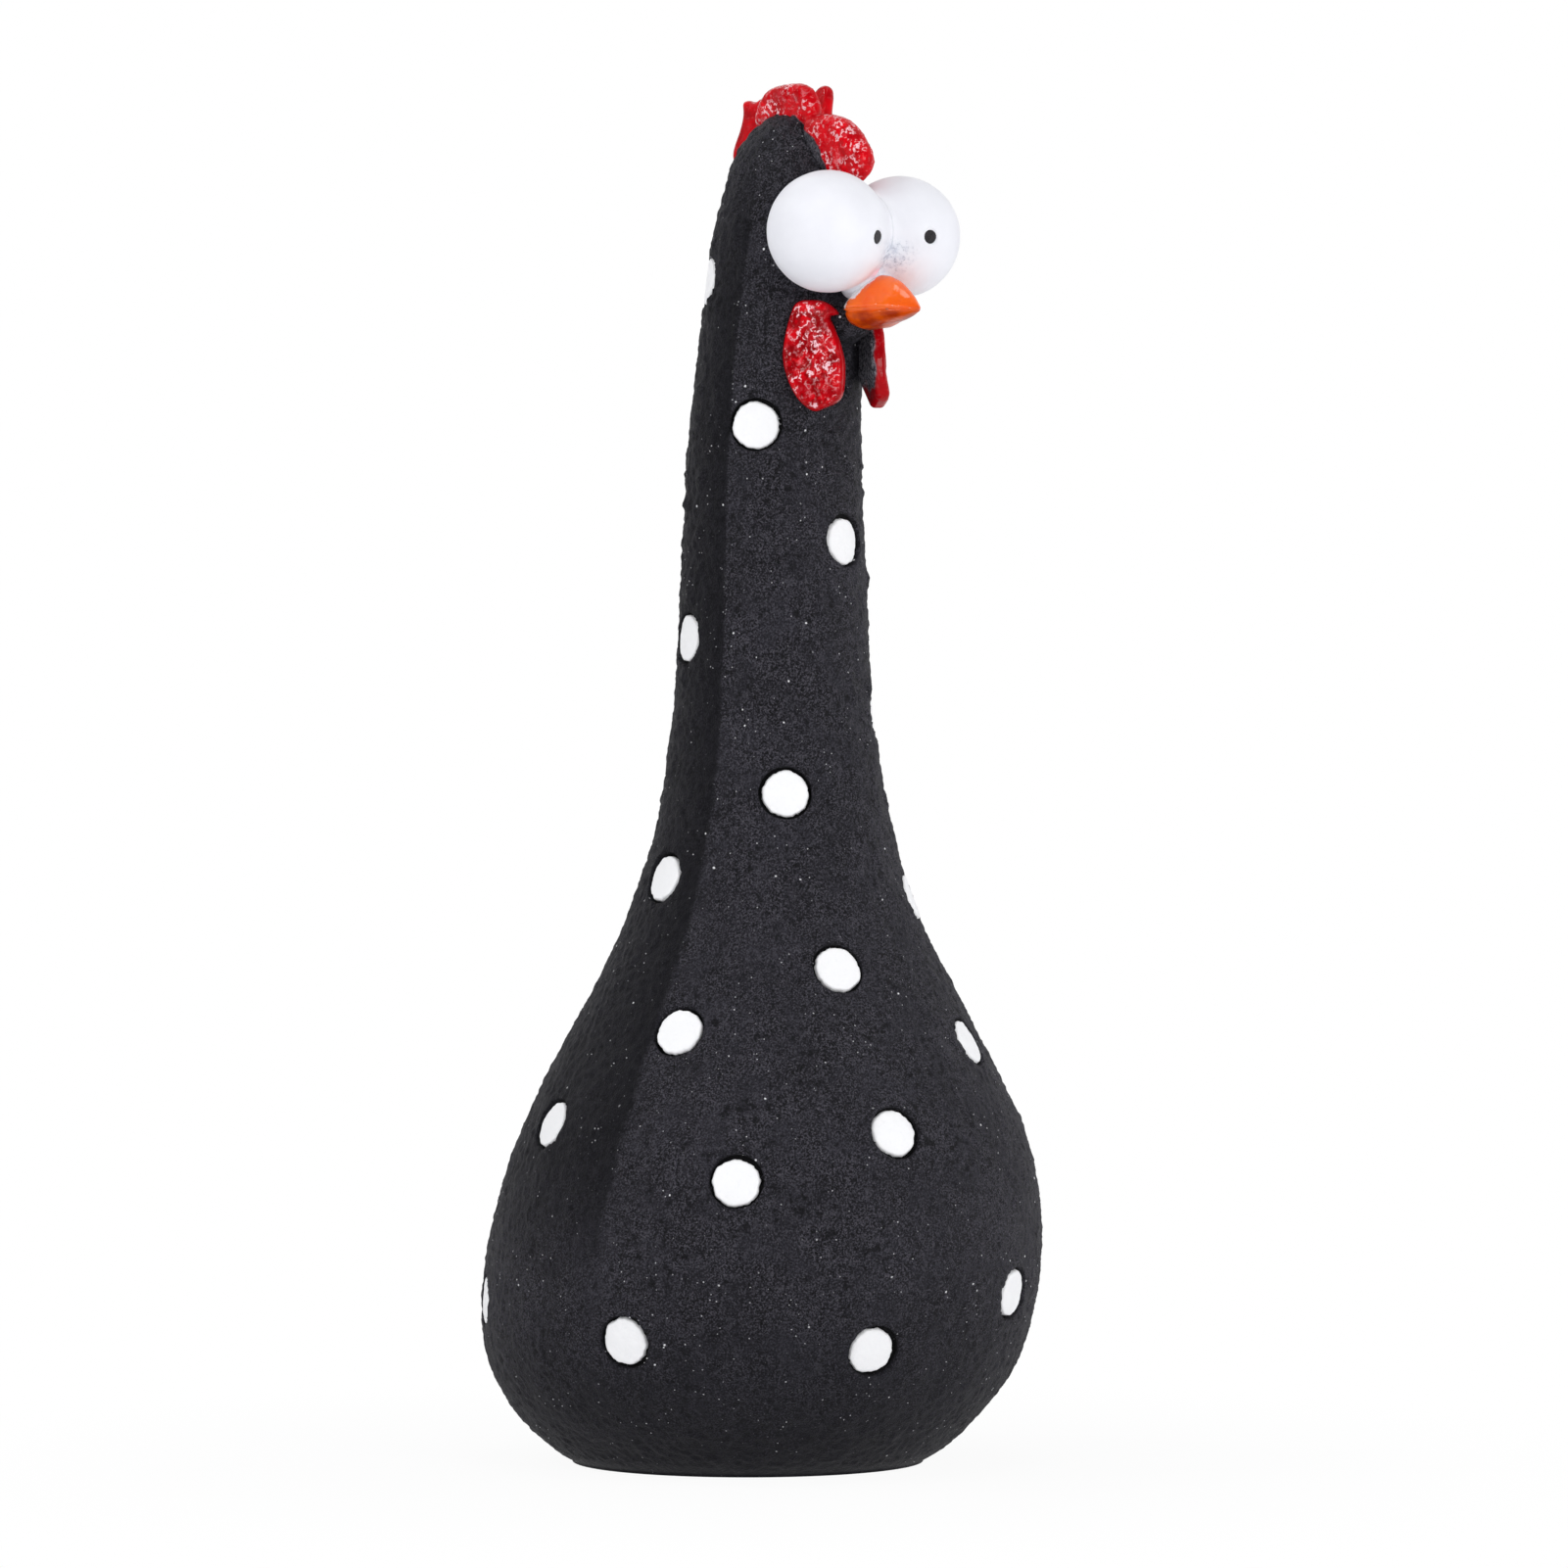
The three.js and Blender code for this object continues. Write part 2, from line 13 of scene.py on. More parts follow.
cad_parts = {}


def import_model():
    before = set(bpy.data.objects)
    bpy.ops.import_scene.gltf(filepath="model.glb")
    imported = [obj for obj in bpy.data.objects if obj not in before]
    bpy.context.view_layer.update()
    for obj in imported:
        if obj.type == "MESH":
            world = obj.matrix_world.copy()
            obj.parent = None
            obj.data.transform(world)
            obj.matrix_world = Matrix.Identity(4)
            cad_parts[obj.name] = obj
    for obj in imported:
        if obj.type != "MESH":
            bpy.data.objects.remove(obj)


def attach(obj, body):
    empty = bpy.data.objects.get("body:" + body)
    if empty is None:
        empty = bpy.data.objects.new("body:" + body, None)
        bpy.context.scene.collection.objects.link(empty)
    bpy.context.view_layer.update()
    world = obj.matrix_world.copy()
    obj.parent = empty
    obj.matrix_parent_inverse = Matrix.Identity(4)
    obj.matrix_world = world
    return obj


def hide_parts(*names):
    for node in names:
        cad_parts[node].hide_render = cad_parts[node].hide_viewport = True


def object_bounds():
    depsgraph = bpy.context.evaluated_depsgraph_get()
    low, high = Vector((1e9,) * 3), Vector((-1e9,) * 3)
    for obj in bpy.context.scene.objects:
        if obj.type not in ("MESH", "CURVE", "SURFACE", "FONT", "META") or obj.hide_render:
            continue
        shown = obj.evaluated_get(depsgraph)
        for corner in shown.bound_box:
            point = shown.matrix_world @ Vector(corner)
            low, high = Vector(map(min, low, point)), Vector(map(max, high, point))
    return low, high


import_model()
cad_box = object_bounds()

MM = 0.001
AXIS_Y = -2.568
BOX_MARGIN = 0.02
BOX_LIMIT = [float(corner) * 1000 - BOX_MARGIN for corner in cad_box[1]]
HANDS = {"right": -1, "left": 1}

# Body outline
FOOT_RADIUS = 25.8
HEEL_FULLNESS = 2.8
HEEL_ROUND = 1.3
HEEL_ROUND_HEIGHT = 1.7
BELLY_RADIUS = 40.5
BELLY_HEIGHT = 28.9
NECK_FOOT_RADIUS = 17.7
FLARE_LENGTH = 44.5
FLARE_SHARPNESS = 2.35
HEAD_RADIUS = 11.8
CROWN_HEIGHT = 196.5
DOME_BASE = 165.9
DOME_FULLNESS = 2.25

# How far the sections lie off the neck's axis: the rump back, the head forward
RUMP_OFFSET = 5.5
RUMP_HEIGHT = 53
HEAD_LEAN = 3.7
LEAN_HEIGHTS = (143, 186)

# Crease down each side, in degrees: its bearing, its drift on the neck, its reach both ways
RIDGE_BEARING = 80
RIDGE_DRIFT = 4.5
DRIFT_HEIGHTS = (55, 110)
RIDGE_FRONT = 17
RIDGE_BACK = 6.5
RIDGE_RISE = 0.024
RIDGE_FOOT = (26, 48)

# Painted shade behind the crease, in degrees, and over the foot
SHADE_FRONT = 1.6
SHADE_BACK = 120
FOOT_SHADE = 0.85
FOOT_SHADE_HEIGHT = 34

# Sand: height, wavelength and seed of each noise; small bumps, higher on the neck
SAND_RELIEF = [(0.2, 11, 1), (0.16, 5, 2), (0.09, 2.3, 3), (0.26, 0.93, 4)]
SAND_START = 2.5
BUMP_SIZE = 2.8
BUMP_SEED = 5
BUMP_FLOOR = 0.28
BUMP_HEIGHTS = (0.1, 0.9)
BUMP_RISE = (70, 110)

# Inside of the casting and the disc under it: radius, height
CASTING_RIM = [(23.4, 0.0), (22.3, 0.0), (22.3, 3.3), (20.2, 3.3), (20.2, 6.3)]
WALL = 4.5
HOLLOW_HEIGHTS = (9.3, 24, 42, 60, 80, 105, 145)
HOLLOW_TOP = (0.5, 150.0)
DISC_RADIUS = 22
DISC_THICKNESS = 3
DISC_EDGE = [(-0.5, 0.0), (-0.15, 0.12), (0, 0.5), (0, DISC_THICKNESS)]

# Mesh of the skin: fine on the belly, coarse on the neck
SKIN_SPLIT = 84
NECK_SPOKES, NECK_SPACING = 240, 0.43
BELLY_SPOKES, BELLY_SPACING = 480, 0.5

# Eyes and the saddle between them
EYE_RADIUS = 8.75
EYE_SIDE = 7.15
EYE_AHEAD = 19.09
EYE_HEIGHT = 178
EYE_COAT = [(0.05, 5, 21), (0.02, 1.2, 22)]
PUPIL_RADIUS = 1.06
PUPIL_DEPTH = 0.16
PIT_DEPTH = 0.3
PUPIL_SIGHT = {"right": (14.0, 8.0), "left": (12.8, 4.0)}
BRIDGE_CENTRE = (0, -18.8, 170.8)
BRIDGE_HALVES = (3.2, 3.4, 2.6)
CHIN_CENTRE = (0, -13.2, 166)
CHIN_HALVES = (4.1, 6.8, 4.0)

# Fillets between the forms that meet
EYE_BLEND = 2.6
BRIDGE_BLEND = 1.4
CHIN_BLEND = 1.6
COMB_BLEND = 1.1

# Grey smudge in the valley between the eyes, partly grime and partly painted shade: half width,
# then where it starts and where it is full
SMUDGE_AND_SHADE_WIDTH = 2.4
SMUDGE_AND_SHADE_AHEAD = (20, 26)
SMUDGE_AND_SHADE_TOP = (174, 178)
SMUDGE_AND_SHADE_BOTTOM = (168.5, 171)

# Pink streak low on the right eye: middle off the eye's centre, directions, half sizes
STREAK_MIDDLE = (4.6, -5.9, -5.5)
STREAK_ALONG = (0.5848, -0.5456, 0.6)
STREAK_ACROSS = (-0.4386, 0.4092, 0.8)
STREAK_LENGTH = 1.7
STREAK_WIDTH = 0.45

# Beak: (distance ahead, height) of its ridge and keel, (distance ahead, half width)
GAPE_HEIGHT = 167
BEAK_ROOT = 18.6
BEAK_TIP = 30.6
BEAK_RIDGE = [
    (18.6, 169.6), (20, 170.6), (21.7, 171.5), (23.1, 171.9), (24.6, 171.7), (26.2, 171.0),
    (27.8, 169.95), (29.25, 168.6), (30.2, 167.4), (30.6, 166.9),
]
BEAK_KEEL = [
    (18.6, 164.6), (20.2, 164.2), (22.5, 164.3), (25.4, 165.0), (28.1, 165.6), (29.9, 166.2),
    (30.6, 166.8),
]
BEAK_HALF = [
    (18.6, 3.5), (19.4, 4.35), (20.2, 4.7), (21.5, 4.65), (23.5, 4.1), (26, 3.1), (28.5, 1.85),
    (29.9, 1.0), (30.6, 0.15),
]
BEAK_COAT = [(0.09, 2.6, 31), (0.03, 0.9, 32)]
# How the section bends: under 1 is rounder than an ellipse, over 1 more pointed
UPPER_SIDE, UPPER_RISE = 1.15, 1.45
LOWER_SIDE, LOWER_DROP = 0.85, 0.9
LOWER_WIDTH = 0.92
GROOVE_TURN, GROOVE_WIDTH, GROOVE_DEPTH = 0.1, 0.07, 0.06
# Ragged edge of the white root: how far ahead it starts, how much further its top reaches
WHITE_ROOT = 19.9
WHITE_LEAN = 3.3
WHITE_LEAN_HEIGHT = 4.8
WHITE_RAGGED = [(1.1, 1.8, 33), (0.5, 0.6, 34)]

# Wattles
WATTLE_TURN = 62
WATTLE_THICKNESS = 2.2
WATTLE_ROUNDING = 0.75
WATTLE_FLARE = 0.9
WATTLE_DISH = 0.28
WATTLE_ROOT = {"right": (-7.9, -10.41, 168.1), "left": (7.87, -10.49, 169.0)}
WATTLE_GRID = ((-1.5, -17.5, -2.6), (10.5, 2, 3.6), 0.15)
WATTLE_OUTLINE = [
    (2.3, 0.3), (1.4, -1.4), (0.6, -4.3), (0.2, -6.8), (0.25, -8.8), (1.0, -11.3), (2.2, -13.6),
    (3.6, -15.0), (5.0, -15.8), (6.1, -15.3), (7.9, -14.7), (9.1, -13.6), (9.45, -10.8),
    (9.35, -8.2), (8.6, -5.6), (7.6, -3.2), (6.9, -2.0), (8.3, -1.9), (8.5, -1.5), (7.6, -0.6),
    (6.6, 0.1), (5, 0.4),
]

# Comb: a crest with four plates, each with its way off the middle, its lean in degrees about its
# foot, half its thickness, how pebbled it is and an outline of (ahead of the axis, height)
COMB_GRID = ((-6.5, -24.5, 183.5), (6.5, 11.0, 202.0), 0.19)
CREST_HALVES = (2.2, 13.4, 32.2)
CREST_FLOOR = 188.6
COMB_PLATES = [
    (0.4, -4, 190, 0.95, 0.1, [
        (-8.0, 189.2), (-8.9, 191.0), (-8.4, 192.9), (-7.3, 195.0), (-6.8, 197.0), (-7.2, 198.5),
        (-6.6, 199.2), (-4.4, 198.6), (-3.2, 199.3), (-2.6, 198.6), (-1.6, 196.6), (-1.0, 192.0),
        (-4.5, 191.0),
    ]),
    (-0.6, 12, 195, 1.4, 1.0, [
        (-2.4, 195.2), (-1.9, 197.2), (-0.6, 199.0), (1.5, 200.3), (4.2, 200.7), (7.2, 200.6),
        (9.2, 199.9), (10.2, 198.4), (10.6, 196.4), (10.0, 194.0), (5.0, 192.6), (-1.5, 193.2),
    ]),
    (1.2, -18, 194, 0.9, 0.15, [
        (5.6, 195.0), (5.7, 198.0), (6.3, 200.1), (7.6, 200.8), (8.9, 200.4), (9.5, 199.0),
        (9.8, 197.2), (10.4, 195.2), (8.5, 193.6),
    ]),
    (-0.7, 8, 189, 1.85, 1.0, [
        (9.0, 195.4), (11.3, 195.7), (13.8, 195.6), (16.6, 194.9), (19.0, 193.0), (20.6, 190.5),
        (21.2, 188.2), (20.2, 186.4), (18.6, 185.4), (15.5, 185.2), (11.5, 187.6), (8.5, 191.5),
    ]),
]
# Where the black of the head reaches up over the foot of the comb: ahead of the axis, height
COMB_BLACK = [
    (4.5, 194.5), (6.2, 195.9), (7.0, 195.8), (8.5, 194.6), (10.4, 193.1), (12.0, 192.1),
    (12.7, 190.4), (13.5, 188.8), (14.4, 186.0),
]
# Middle of the smooth dip between the top lobe and the front lobe: ahead of the axis, height
COMB_VALLEY = (10.4, 194.8)
VALLEY_RADIUS = 2

# White dots: bearing, height as a share of the crown's, and where a dot is painted in its own way
# also the thickness of its film and its slip sideways and upward
RECESS_RADIUS = 3.92
RECESS_DEPTH = 0.95
PAINT_RADIUS = 3.42
PAINT_FILM = 0.65
PAINT_SLIP = 0.12
DOTS = {
    "dot_belly": [
        (-17.7, 0.096, 0.5, -0.22, -0.12), (21.6, 0.131, 0.72, 0, 0), (58, 0.102),
        (100, 0.072), (150, 0.142), (-172, 0.112), (-124, 0.122, 0.75, 0, 0),
        (-70.5, 0.102, 0.6, -0.12, 0.05), (105, 0.183), (62, 0.229),
        (-50.3, 0.22, 0.6, -0.05, -0.14), (-148, 0.214), (175, 0.265),
        (-105.9, 0.256, 0.75, 0, 0), (-14.1, 0.253, 0.55, -0.1, 0.12),
    ],
    "dot_shoulder": [
        (27.1, 0.315, 0.75, 0, 0), (130, 0.316), (-70.5, 0.326, 0.5, 0.05, -0.05),
        (-140, 0.347), (75, 0.357), (-20.6, 0.37), (41, 0.42, 1, 0, 0), (175, 0.427),
        (-99.4, 0.435, 0.75, -0.05, 0), (115, 0.478), (-36.7, 0.497),
    ],
    "dot_neck": [
        (-160, 0.529), (50, 0.555), (120, 0.601), (-109.9, 0.611, 0.75, 0, 0), (-165, 0.666),
        (9.9, 0.683, 0.62, 0.05, -0.15), (80, 0.718), (-56, 0.767, 0.55, -0.1, -0.08),
        (170, 0.774), (95, 0.83), (-126, 0.875, 0.9, 0.1, 0),
    ],
}


# Numbers and fields

def smooth(value, low, high):
    """0 up to low, 1 from high on, with an easy passage between them."""
    share = np.clip((value - low) / (high - low), 0, 1)
    return share * share * (3 - 2 * share)


def bell(off, width):
    return np.exp(-(off / width) ** 2)


def unit(vectors):
    return vectors / np.linalg.norm(vectors, axis=-1, keepdims=True)


def turns(count):
    """Angles evenly round a circle."""
    return 2 * np.pi * np.arange(count) / count


def tangents(outward):
    """The directions sideways and upward on a surface that faces outward."""
    side = unit(np.cross((0, 0, 1), outward))
    return side, np.cross(outward, side)


SEED_SHIFT = (17.31, 5.77, 11.13)


def grain(points, wavelength, seed):
    """Noise at each point, about -1 to 1."""
    shift = Vector([seed * step for step in SEED_SHIFT])
    return np.array([noise.noise(Vector(spot) + shift) for spot in points / wavelength])


def layered(points, layers):
    """Several noises added up, each with its height, wavelength and seed."""
    return sum(height * grain(points, wavelength, seed) for height, wavelength, seed in layers)


def worms(points, wavelength, seed):
    """1 on thin winding lines, where a noise passes zero."""
    return np.clip(1 - np.abs(grain(points, wavelength, seed)) / 0.3, 0, 1)


def blended(a, b, width):
    """The smaller of two distances, with a fillet of the given width."""
    share = np.clip(0.5 + 0.5 * (b - a) / width, 0, 1)
    return b + (a - b) * share - width * share * (1 - share)


def ball_distance(points, centre, halves):
    """About the distance from an ellipsoid."""
    halves = np.array(halves, float)
    local = (points - np.array(centre, float)) / halves
    length = np.linalg.norm(local, axis=1)
    slope = np.linalg.norm(local / halves, axis=1)
    return length * (length - 1) / np.maximum(slope, 1e-6)


def plate_distance(edge, across, half, rounding):
    """A plate with rounded edges, from the distance to its outline and the way off its middle."""
    u = edge + rounding
    v = np.abs(across) - (half - rounding)
    outside = np.hypot(np.maximum(u, 0), np.maximum(v, 0))
    return np.minimum(np.maximum(u, v), 0) + outside - rounding


def gradient(field, points, step=0.02):
    moves = step * np.eye(3)
    slopes = [(field(points + move) - field(points - move)) / (2 * step) for move in moves]
    return np.stack(slopes, -1)


def settled(field, points, rounds=3):
    """The points moved on to the surface where the field is zero."""
    for _ in range(rounds):
        slope = gradient(field, points)
        reach = np.clip(field(points), -0.2, 0.2) / np.maximum((slope ** 2).sum(1), 0.1)
        points = points - slope * reach[:, None]
    return points


def reach_inside(field, centre, ray, low, high, rounds):
    """How far each ray runs before it leaves the field, between low and high."""
    low, high = np.full(len(ray), low), np.full(len(ray), high)
    for _ in range(rounds):
        middle = (low + high) / 2
        within = field(centre + ray * middle[:, None]) < 0
        low, high = np.where(within, middle, low), np.where(within, high, middle)
    return low


class Outline:
    """Signed distance to a smooth closed curve through a few control points."""

    def __init__(self, controls, step=0.08, margin=3.0, rounds=3):
        curve = np.array(controls, float)
        for _ in range(rounds):
            after = np.roll(curve, -1, 0)
            cuts = [0.75 * curve + 0.25 * after, 0.25 * curve + 0.75 * after]
            curve = np.stack(cuts, 1).reshape(-1, 2)
        self.low = curve.min(0) - margin
        self.step = step
        self.size = np.ceil((curve.max(0) + margin - self.low) / step).astype(int) + 1
        rows = [self.low[k] + step * np.arange(self.size[k]) for k in (0, 1)]
        spots = np.stack(np.meshgrid(*rows, indexing="ij"), -1).reshape(-1, 2)
        nearest = np.full(len(spots), 1e9)
        inside = np.zeros(len(spots), bool)
        for a, b in zip(curve, np.roll(curve, -1, 0)):
            edge = b - a
            share = np.clip(((spots - a) @ edge) / max(edge @ edge, 1e-12), 0, 1)
            nearest = np.minimum(nearest, np.linalg.norm(spots - a - share[:, None] * edge, axis=1))
            crosses = (a[1] > spots[:, 1]) != (b[1] > spots[:, 1])
            rise = edge[1] if abs(edge[1]) > 1e-12 else 1e-12
            inside ^= crosses & (spots[:, 0] < a[0] + edge[0] * (spots[:, 1] - a[1]) / rise)
        self.values = np.where(inside, -nearest, nearest).reshape(self.size)

    def __call__(self, u, v):
        a = np.clip((u - self.low[0]) / self.step, 0, self.size[0] - 1.001)
        b = np.clip((v - self.low[1]) / self.step, 0, self.size[1] - 1.001)
        i, j = a.astype(int), b.astype(int)
        s, t = a - i, b - j
        low = self.values[i, j] * (1 - s) + self.values[i + 1, j] * s
        high = self.values[i, j + 1] * (1 - s) + self.values[i + 1, j + 1] * s
        return low * (1 - t) + high * t


# Meshes

def add(name, data):
    made = bpy.data.objects.new(name, data)
    bpy.context.scene.collection.objects.link(made)
    return made


def make_piece(name, points, faces, masks=()):
    """A smooth mesh object, with a value per point for each mask."""
    placed = (points + (0, AXIS_Y, 0)) * MM
    mesh = bpy.data.meshes.new(name)
    mesh.from_pydata(placed.tolist(), [], faces)
    mesh.polygons.foreach_set("use_smooth", np.ones(len(mesh.polygons), bool))
    for mask, values in dict(masks).items():
        layer = mesh.attributes.new(mask, "FLOAT", "POINT")
        layer.data.foreach_set("value", values.astype(np.float32))
    mesh.validate()
    mesh.update()
    return add(name, mesh)


def woven(start, count, rows):
    """Quads between rows of count points that go round, numbered from start."""
    faces = []
    for a in range(start, start + (rows - 1) * count, count):
        b = a + count
        for k in range(count):
            n = (k + 1) % count
            faces.append((a + k, b + k, b + n, a + n))
    return faces


def tube(count, rows):
    """Faces of rows that go round the other way, closed at both ends."""
    faces = [(a, d, c, b) for a, b, c, d in woven(0, count, rows)]
    faces.append(tuple(reversed(range(count))))
    faces.append(tuple(range((rows - 1) * count, rows * count)))
    return faces


def film_piece(name, top, under, rings, spokes):
    """A thin film: a middle point with rings around it, and one ring underneath."""
    faces = [(0, 1 + k, 1 + (k + 1) % spokes) for k in range(spokes)]
    faces += woven(1, spokes, rings + 1)
    faces.append(tuple(1 + rings * spokes + k for k in reversed(range(spokes))))
    return make_piece(name, np.concatenate([top, under]), faces)


def normals_of(points, faces):
    """Vertex normals, weighted by face area."""
    total = np.zeros_like(points)
    for sides in {len(face) for face in faces}:
        group = np.array([face for face in faces if len(face) == sides])
        first, second, third, last = (points[group[:, k]] for k in (0, 1, 2, -1))
        edges = (third - first, last - second) if sides == 4 else (second - first, third - first)
        across = np.cross(*edges)
        for corner in range(sides):
            np.add.at(total, group[:, corner], across)
    return total / np.maximum(np.linalg.norm(total, axis=1, keepdims=True), 1e-9)


def surface_net(field, low, high, step):
    """Points and outward quads of the surface where the field is zero."""
    axes = [np.arange(low[k], high[k] + step, step) for k in range(3)]
    grid = np.stack(np.meshgrid(*axes, indexing="ij"), -1)
    values = field(grid.reshape(-1, 3)).reshape(grid.shape[:3])
    inside = values < 0
    cells = tuple(n - 1 for n in inside.shape)

    def corner(array, offset):
        return array[tuple(slice(o, o + n) for o, n in zip(offset, cells))]

    offsets = list(np.ndindex(2, 2, 2))
    count = sum(corner(inside, o).astype(int) for o in offsets)
    mixed = (count > 0) & (count < 8)
    index = np.full(cells, -1)
    index[mixed] = np.arange(mixed.sum())
    total = np.zeros((mixed.sum(), 3))
    hits = np.zeros(mixed.sum())
    for start in offsets:
        for axis in range(3):
            if start[axis]:
                continue
            end = tuple(o + (a == axis) for a, o in enumerate(start))
            here, there = corner(values, start)[mixed], corner(values, end)[mixed]
            crosses = (here < 0) != (there < 0)
            place = corner(grid, start)[mixed]
            place[:, axis] += here / np.where(crosses, here - there, 1) * step
            total[crosses] += place[crosses]
            hits += crosses
    faces = []
    for axis in range(3):
        order = (axis, (axis + 1) % 3, (axis + 2) % 3)
        here = np.moveaxis(inside, order, (0, 1, 2))
        cell = np.moveaxis(index, order, (0, 1, 2))
        leaves = here[:-1] & ~here[1:]
        enters = ~here[:-1] & here[1:]
        for change, turned in ((leaves, False), (enters, True)):
            i, j, k = np.nonzero(change[:, 1:-1, 1:-1])
            quad = [cell[i, j, k], cell[i, j + 1, k], cell[i, j + 1, k + 1], cell[i, j, k + 1]]
            faces.extend(np.stack(quad[::-1] if turned else quad, -1).tolist())
    return total / hits[:, None], faces


# Body

def outline_radius(height):
    height = np.asarray(height, float)
    below = np.clip(1 - height / BELLY_HEIGHT, 0, 1)
    heel = FOOT_RADIUS + (BELLY_RADIUS - FOOT_RADIUS) * (1 - below ** HEEL_FULLNESS)
    taper = (DOME_BASE - height) / (DOME_BASE - BELLY_HEIGHT)
    above = np.maximum(height - BELLY_HEIGHT, 0) / FLARE_LENGTH
    flare = (BELLY_RADIUS - NECK_FOOT_RADIUS) * np.exp(-(above ** FLARE_SHARPNESS))
    neck = HEAD_RADIUS + (NECK_FOOT_RADIUS - HEAD_RADIUS) * taper + flare
    climb = np.clip((height - DOME_BASE) / (CROWN_HEIGHT - DOME_BASE), 0, 1)
    dome = HEAD_RADIUS * (1 - climb ** DOME_FULLNESS) ** (1 / DOME_FULLNESS)
    return np.where(height <= BELLY_HEIGHT, heel, np.where(height <= DOME_BASE, neck, dome))


def section_offset(height):
    height = np.asarray(height, float)
    sag = (1 + np.cos(np.pi * np.minimum(height, RUMP_HEIGHT) / RUMP_HEIGHT)) / 2
    return RUMP_OFFSET * sag - HEAD_LEAN * smooth(height, *LEAN_HEIGHTS)


def ridge_fade(height):
    return smooth(height, *RIDGE_FOOT) * (1 - smooth(height, DOME_BASE, CROWN_HEIGHT))


def behind_ridge(bearing, height):
    """Degrees behind the crease that runs down each side."""
    drift = RIDGE_DRIFT * smooth(height, *DRIFT_HEIGHTS)
    return np.degrees(np.abs(bearing)) - RIDGE_BEARING + drift


def crest(off, front, back):
    """1 on the crease, with a soft slope ahead of it and a sharp drop behind it."""
    return np.where(off < 0, bell(off, front), np.exp(-np.maximum(off, 0) / back))


def ridge(bearing, height):
    """How much the crease widens the outline."""
    rise = crest(behind_ridge(bearing, height), RIDGE_FRONT, RIDGE_BACK)
    return 1 + RIDGE_RISE * ridge_fade(height) * rise


def body_distance(points):
    """About the distance from the body's smooth outline, chin included."""
    x, y, z = points.T
    ahead = section_offset(z) - y
    neck = np.hypot(x, ahead) - outline_radius(z) * ridge(np.arctan2(x, ahead), z)
    return blended(neck, ball_distance(points, CHIN_CENTRE, CHIN_HALVES), CHIN_BLEND)


def ring(bearing, radius, middle, height):
    """Points round a centre that lies back from the neck's axis by middle."""
    x, y = radius * np.sin(bearing), middle - radius * np.cos(bearing)
    return np.stack([x, y, height + 0 * bearing], -1)


def body_point(bearing, height):
    reach = outline_radius(height) * ridge(bearing, height)
    return ring(bearing, reach, section_offset(height), height)


def dot_frames():
    """Name, film and slip, centre and normal of each dot."""
    frames = []
    for zone, places in DOTS.items():
        for number, (degrees, share, *work) in enumerate(places, 1):
            bearing = np.array([math.radians(degrees)])
            centre = body_point(bearing, np.array([share * CROWN_HEIGHT]))
            normal = unit(gradient(body_distance, centre)[0])
            frames.append((f"{zone}_{number}", work, centre[0], normal))
    return frames


def profile_rows(low, high, spacing):
    """Heights from high to low, evenly spaced along the outline."""
    heights = np.linspace(high, low, 6000)
    steps = np.hypot(np.diff(heights), np.diff(outline_radius(heights)))
    run = np.concatenate([[0], np.cumsum(steps)])
    return np.interp(np.linspace(0, run[-1], int(run[-1] / spacing) + 1), run, heights)


def skin_grid():
    """The plain outside: a fan on the crown, a coarse neck and a fine belly."""
    coarse, fine = NECK_SPOKES, BELLY_SPOKES
    neck_rows = profile_rows(SKIN_SPLIT, CROWN_HEIGHT - 0.02, NECK_SPACING)
    belly_rows = profile_rows(0.0, SKIN_SPLIT, BELLY_SPACING)[1:]
    rings = [np.array([[0, float(section_offset(CROWN_HEIGHT)), CROWN_HEIGHT]])]
    for count, rows in ((coarse, neck_rows), (fine, belly_rows)):
        rings += [body_point(turns(count), np.full(count, height)) for height in rows]
    belly = 1 + coarse * len(neck_rows)
    last = belly - coarse
    faces = [(0, 1 + k, 1 + (k + 1) % coarse) for k in range(coarse)]
    faces += woven(1, coarse, len(neck_rows))
    for k in range(coarse):
        n = (k + 1) % coarse
        b, c, d = belly + 2 * k, belly + 2 * k + 1, belly + (2 * k + 2) % fine
        faces += [(last + k, b, c), (last + k, c, last + n), (last + n, c, d)]
    faces += woven(belly, fine, len(belly_rows))
    return np.concatenate(rings), faces


def hollow_rings():
    """The rim, the ledge and the hollow, seen only with the disc off."""
    walls = [(float(outline_radius(height)) - WALL, height) for height in HOLLOW_HEIGHTS]
    bearing = turns(BELLY_SPOKES)
    profile = [*CASTING_RIM, *walls, HOLLOW_TOP]
    return [ring(bearing, radius, float(section_offset(z)), z) for radius, z in profile]


def swell_chin(skin):
    """Moves the skin near the chin out to the surface that includes it."""
    near = (np.abs(skin[:, 2] - CHIN_CENTRE[2]) < 9) & (skin[:, 1] < -4)
    height = skin[near, 2]
    centre = np.stack([0 * height, section_offset(height), height], -1)
    ray = unit(skin[near] - centre)
    reach = reach_inside(body_distance, centre, ray, 6.0, 26.0, 22)
    skin[near] = centre + ray * reach[:, None]


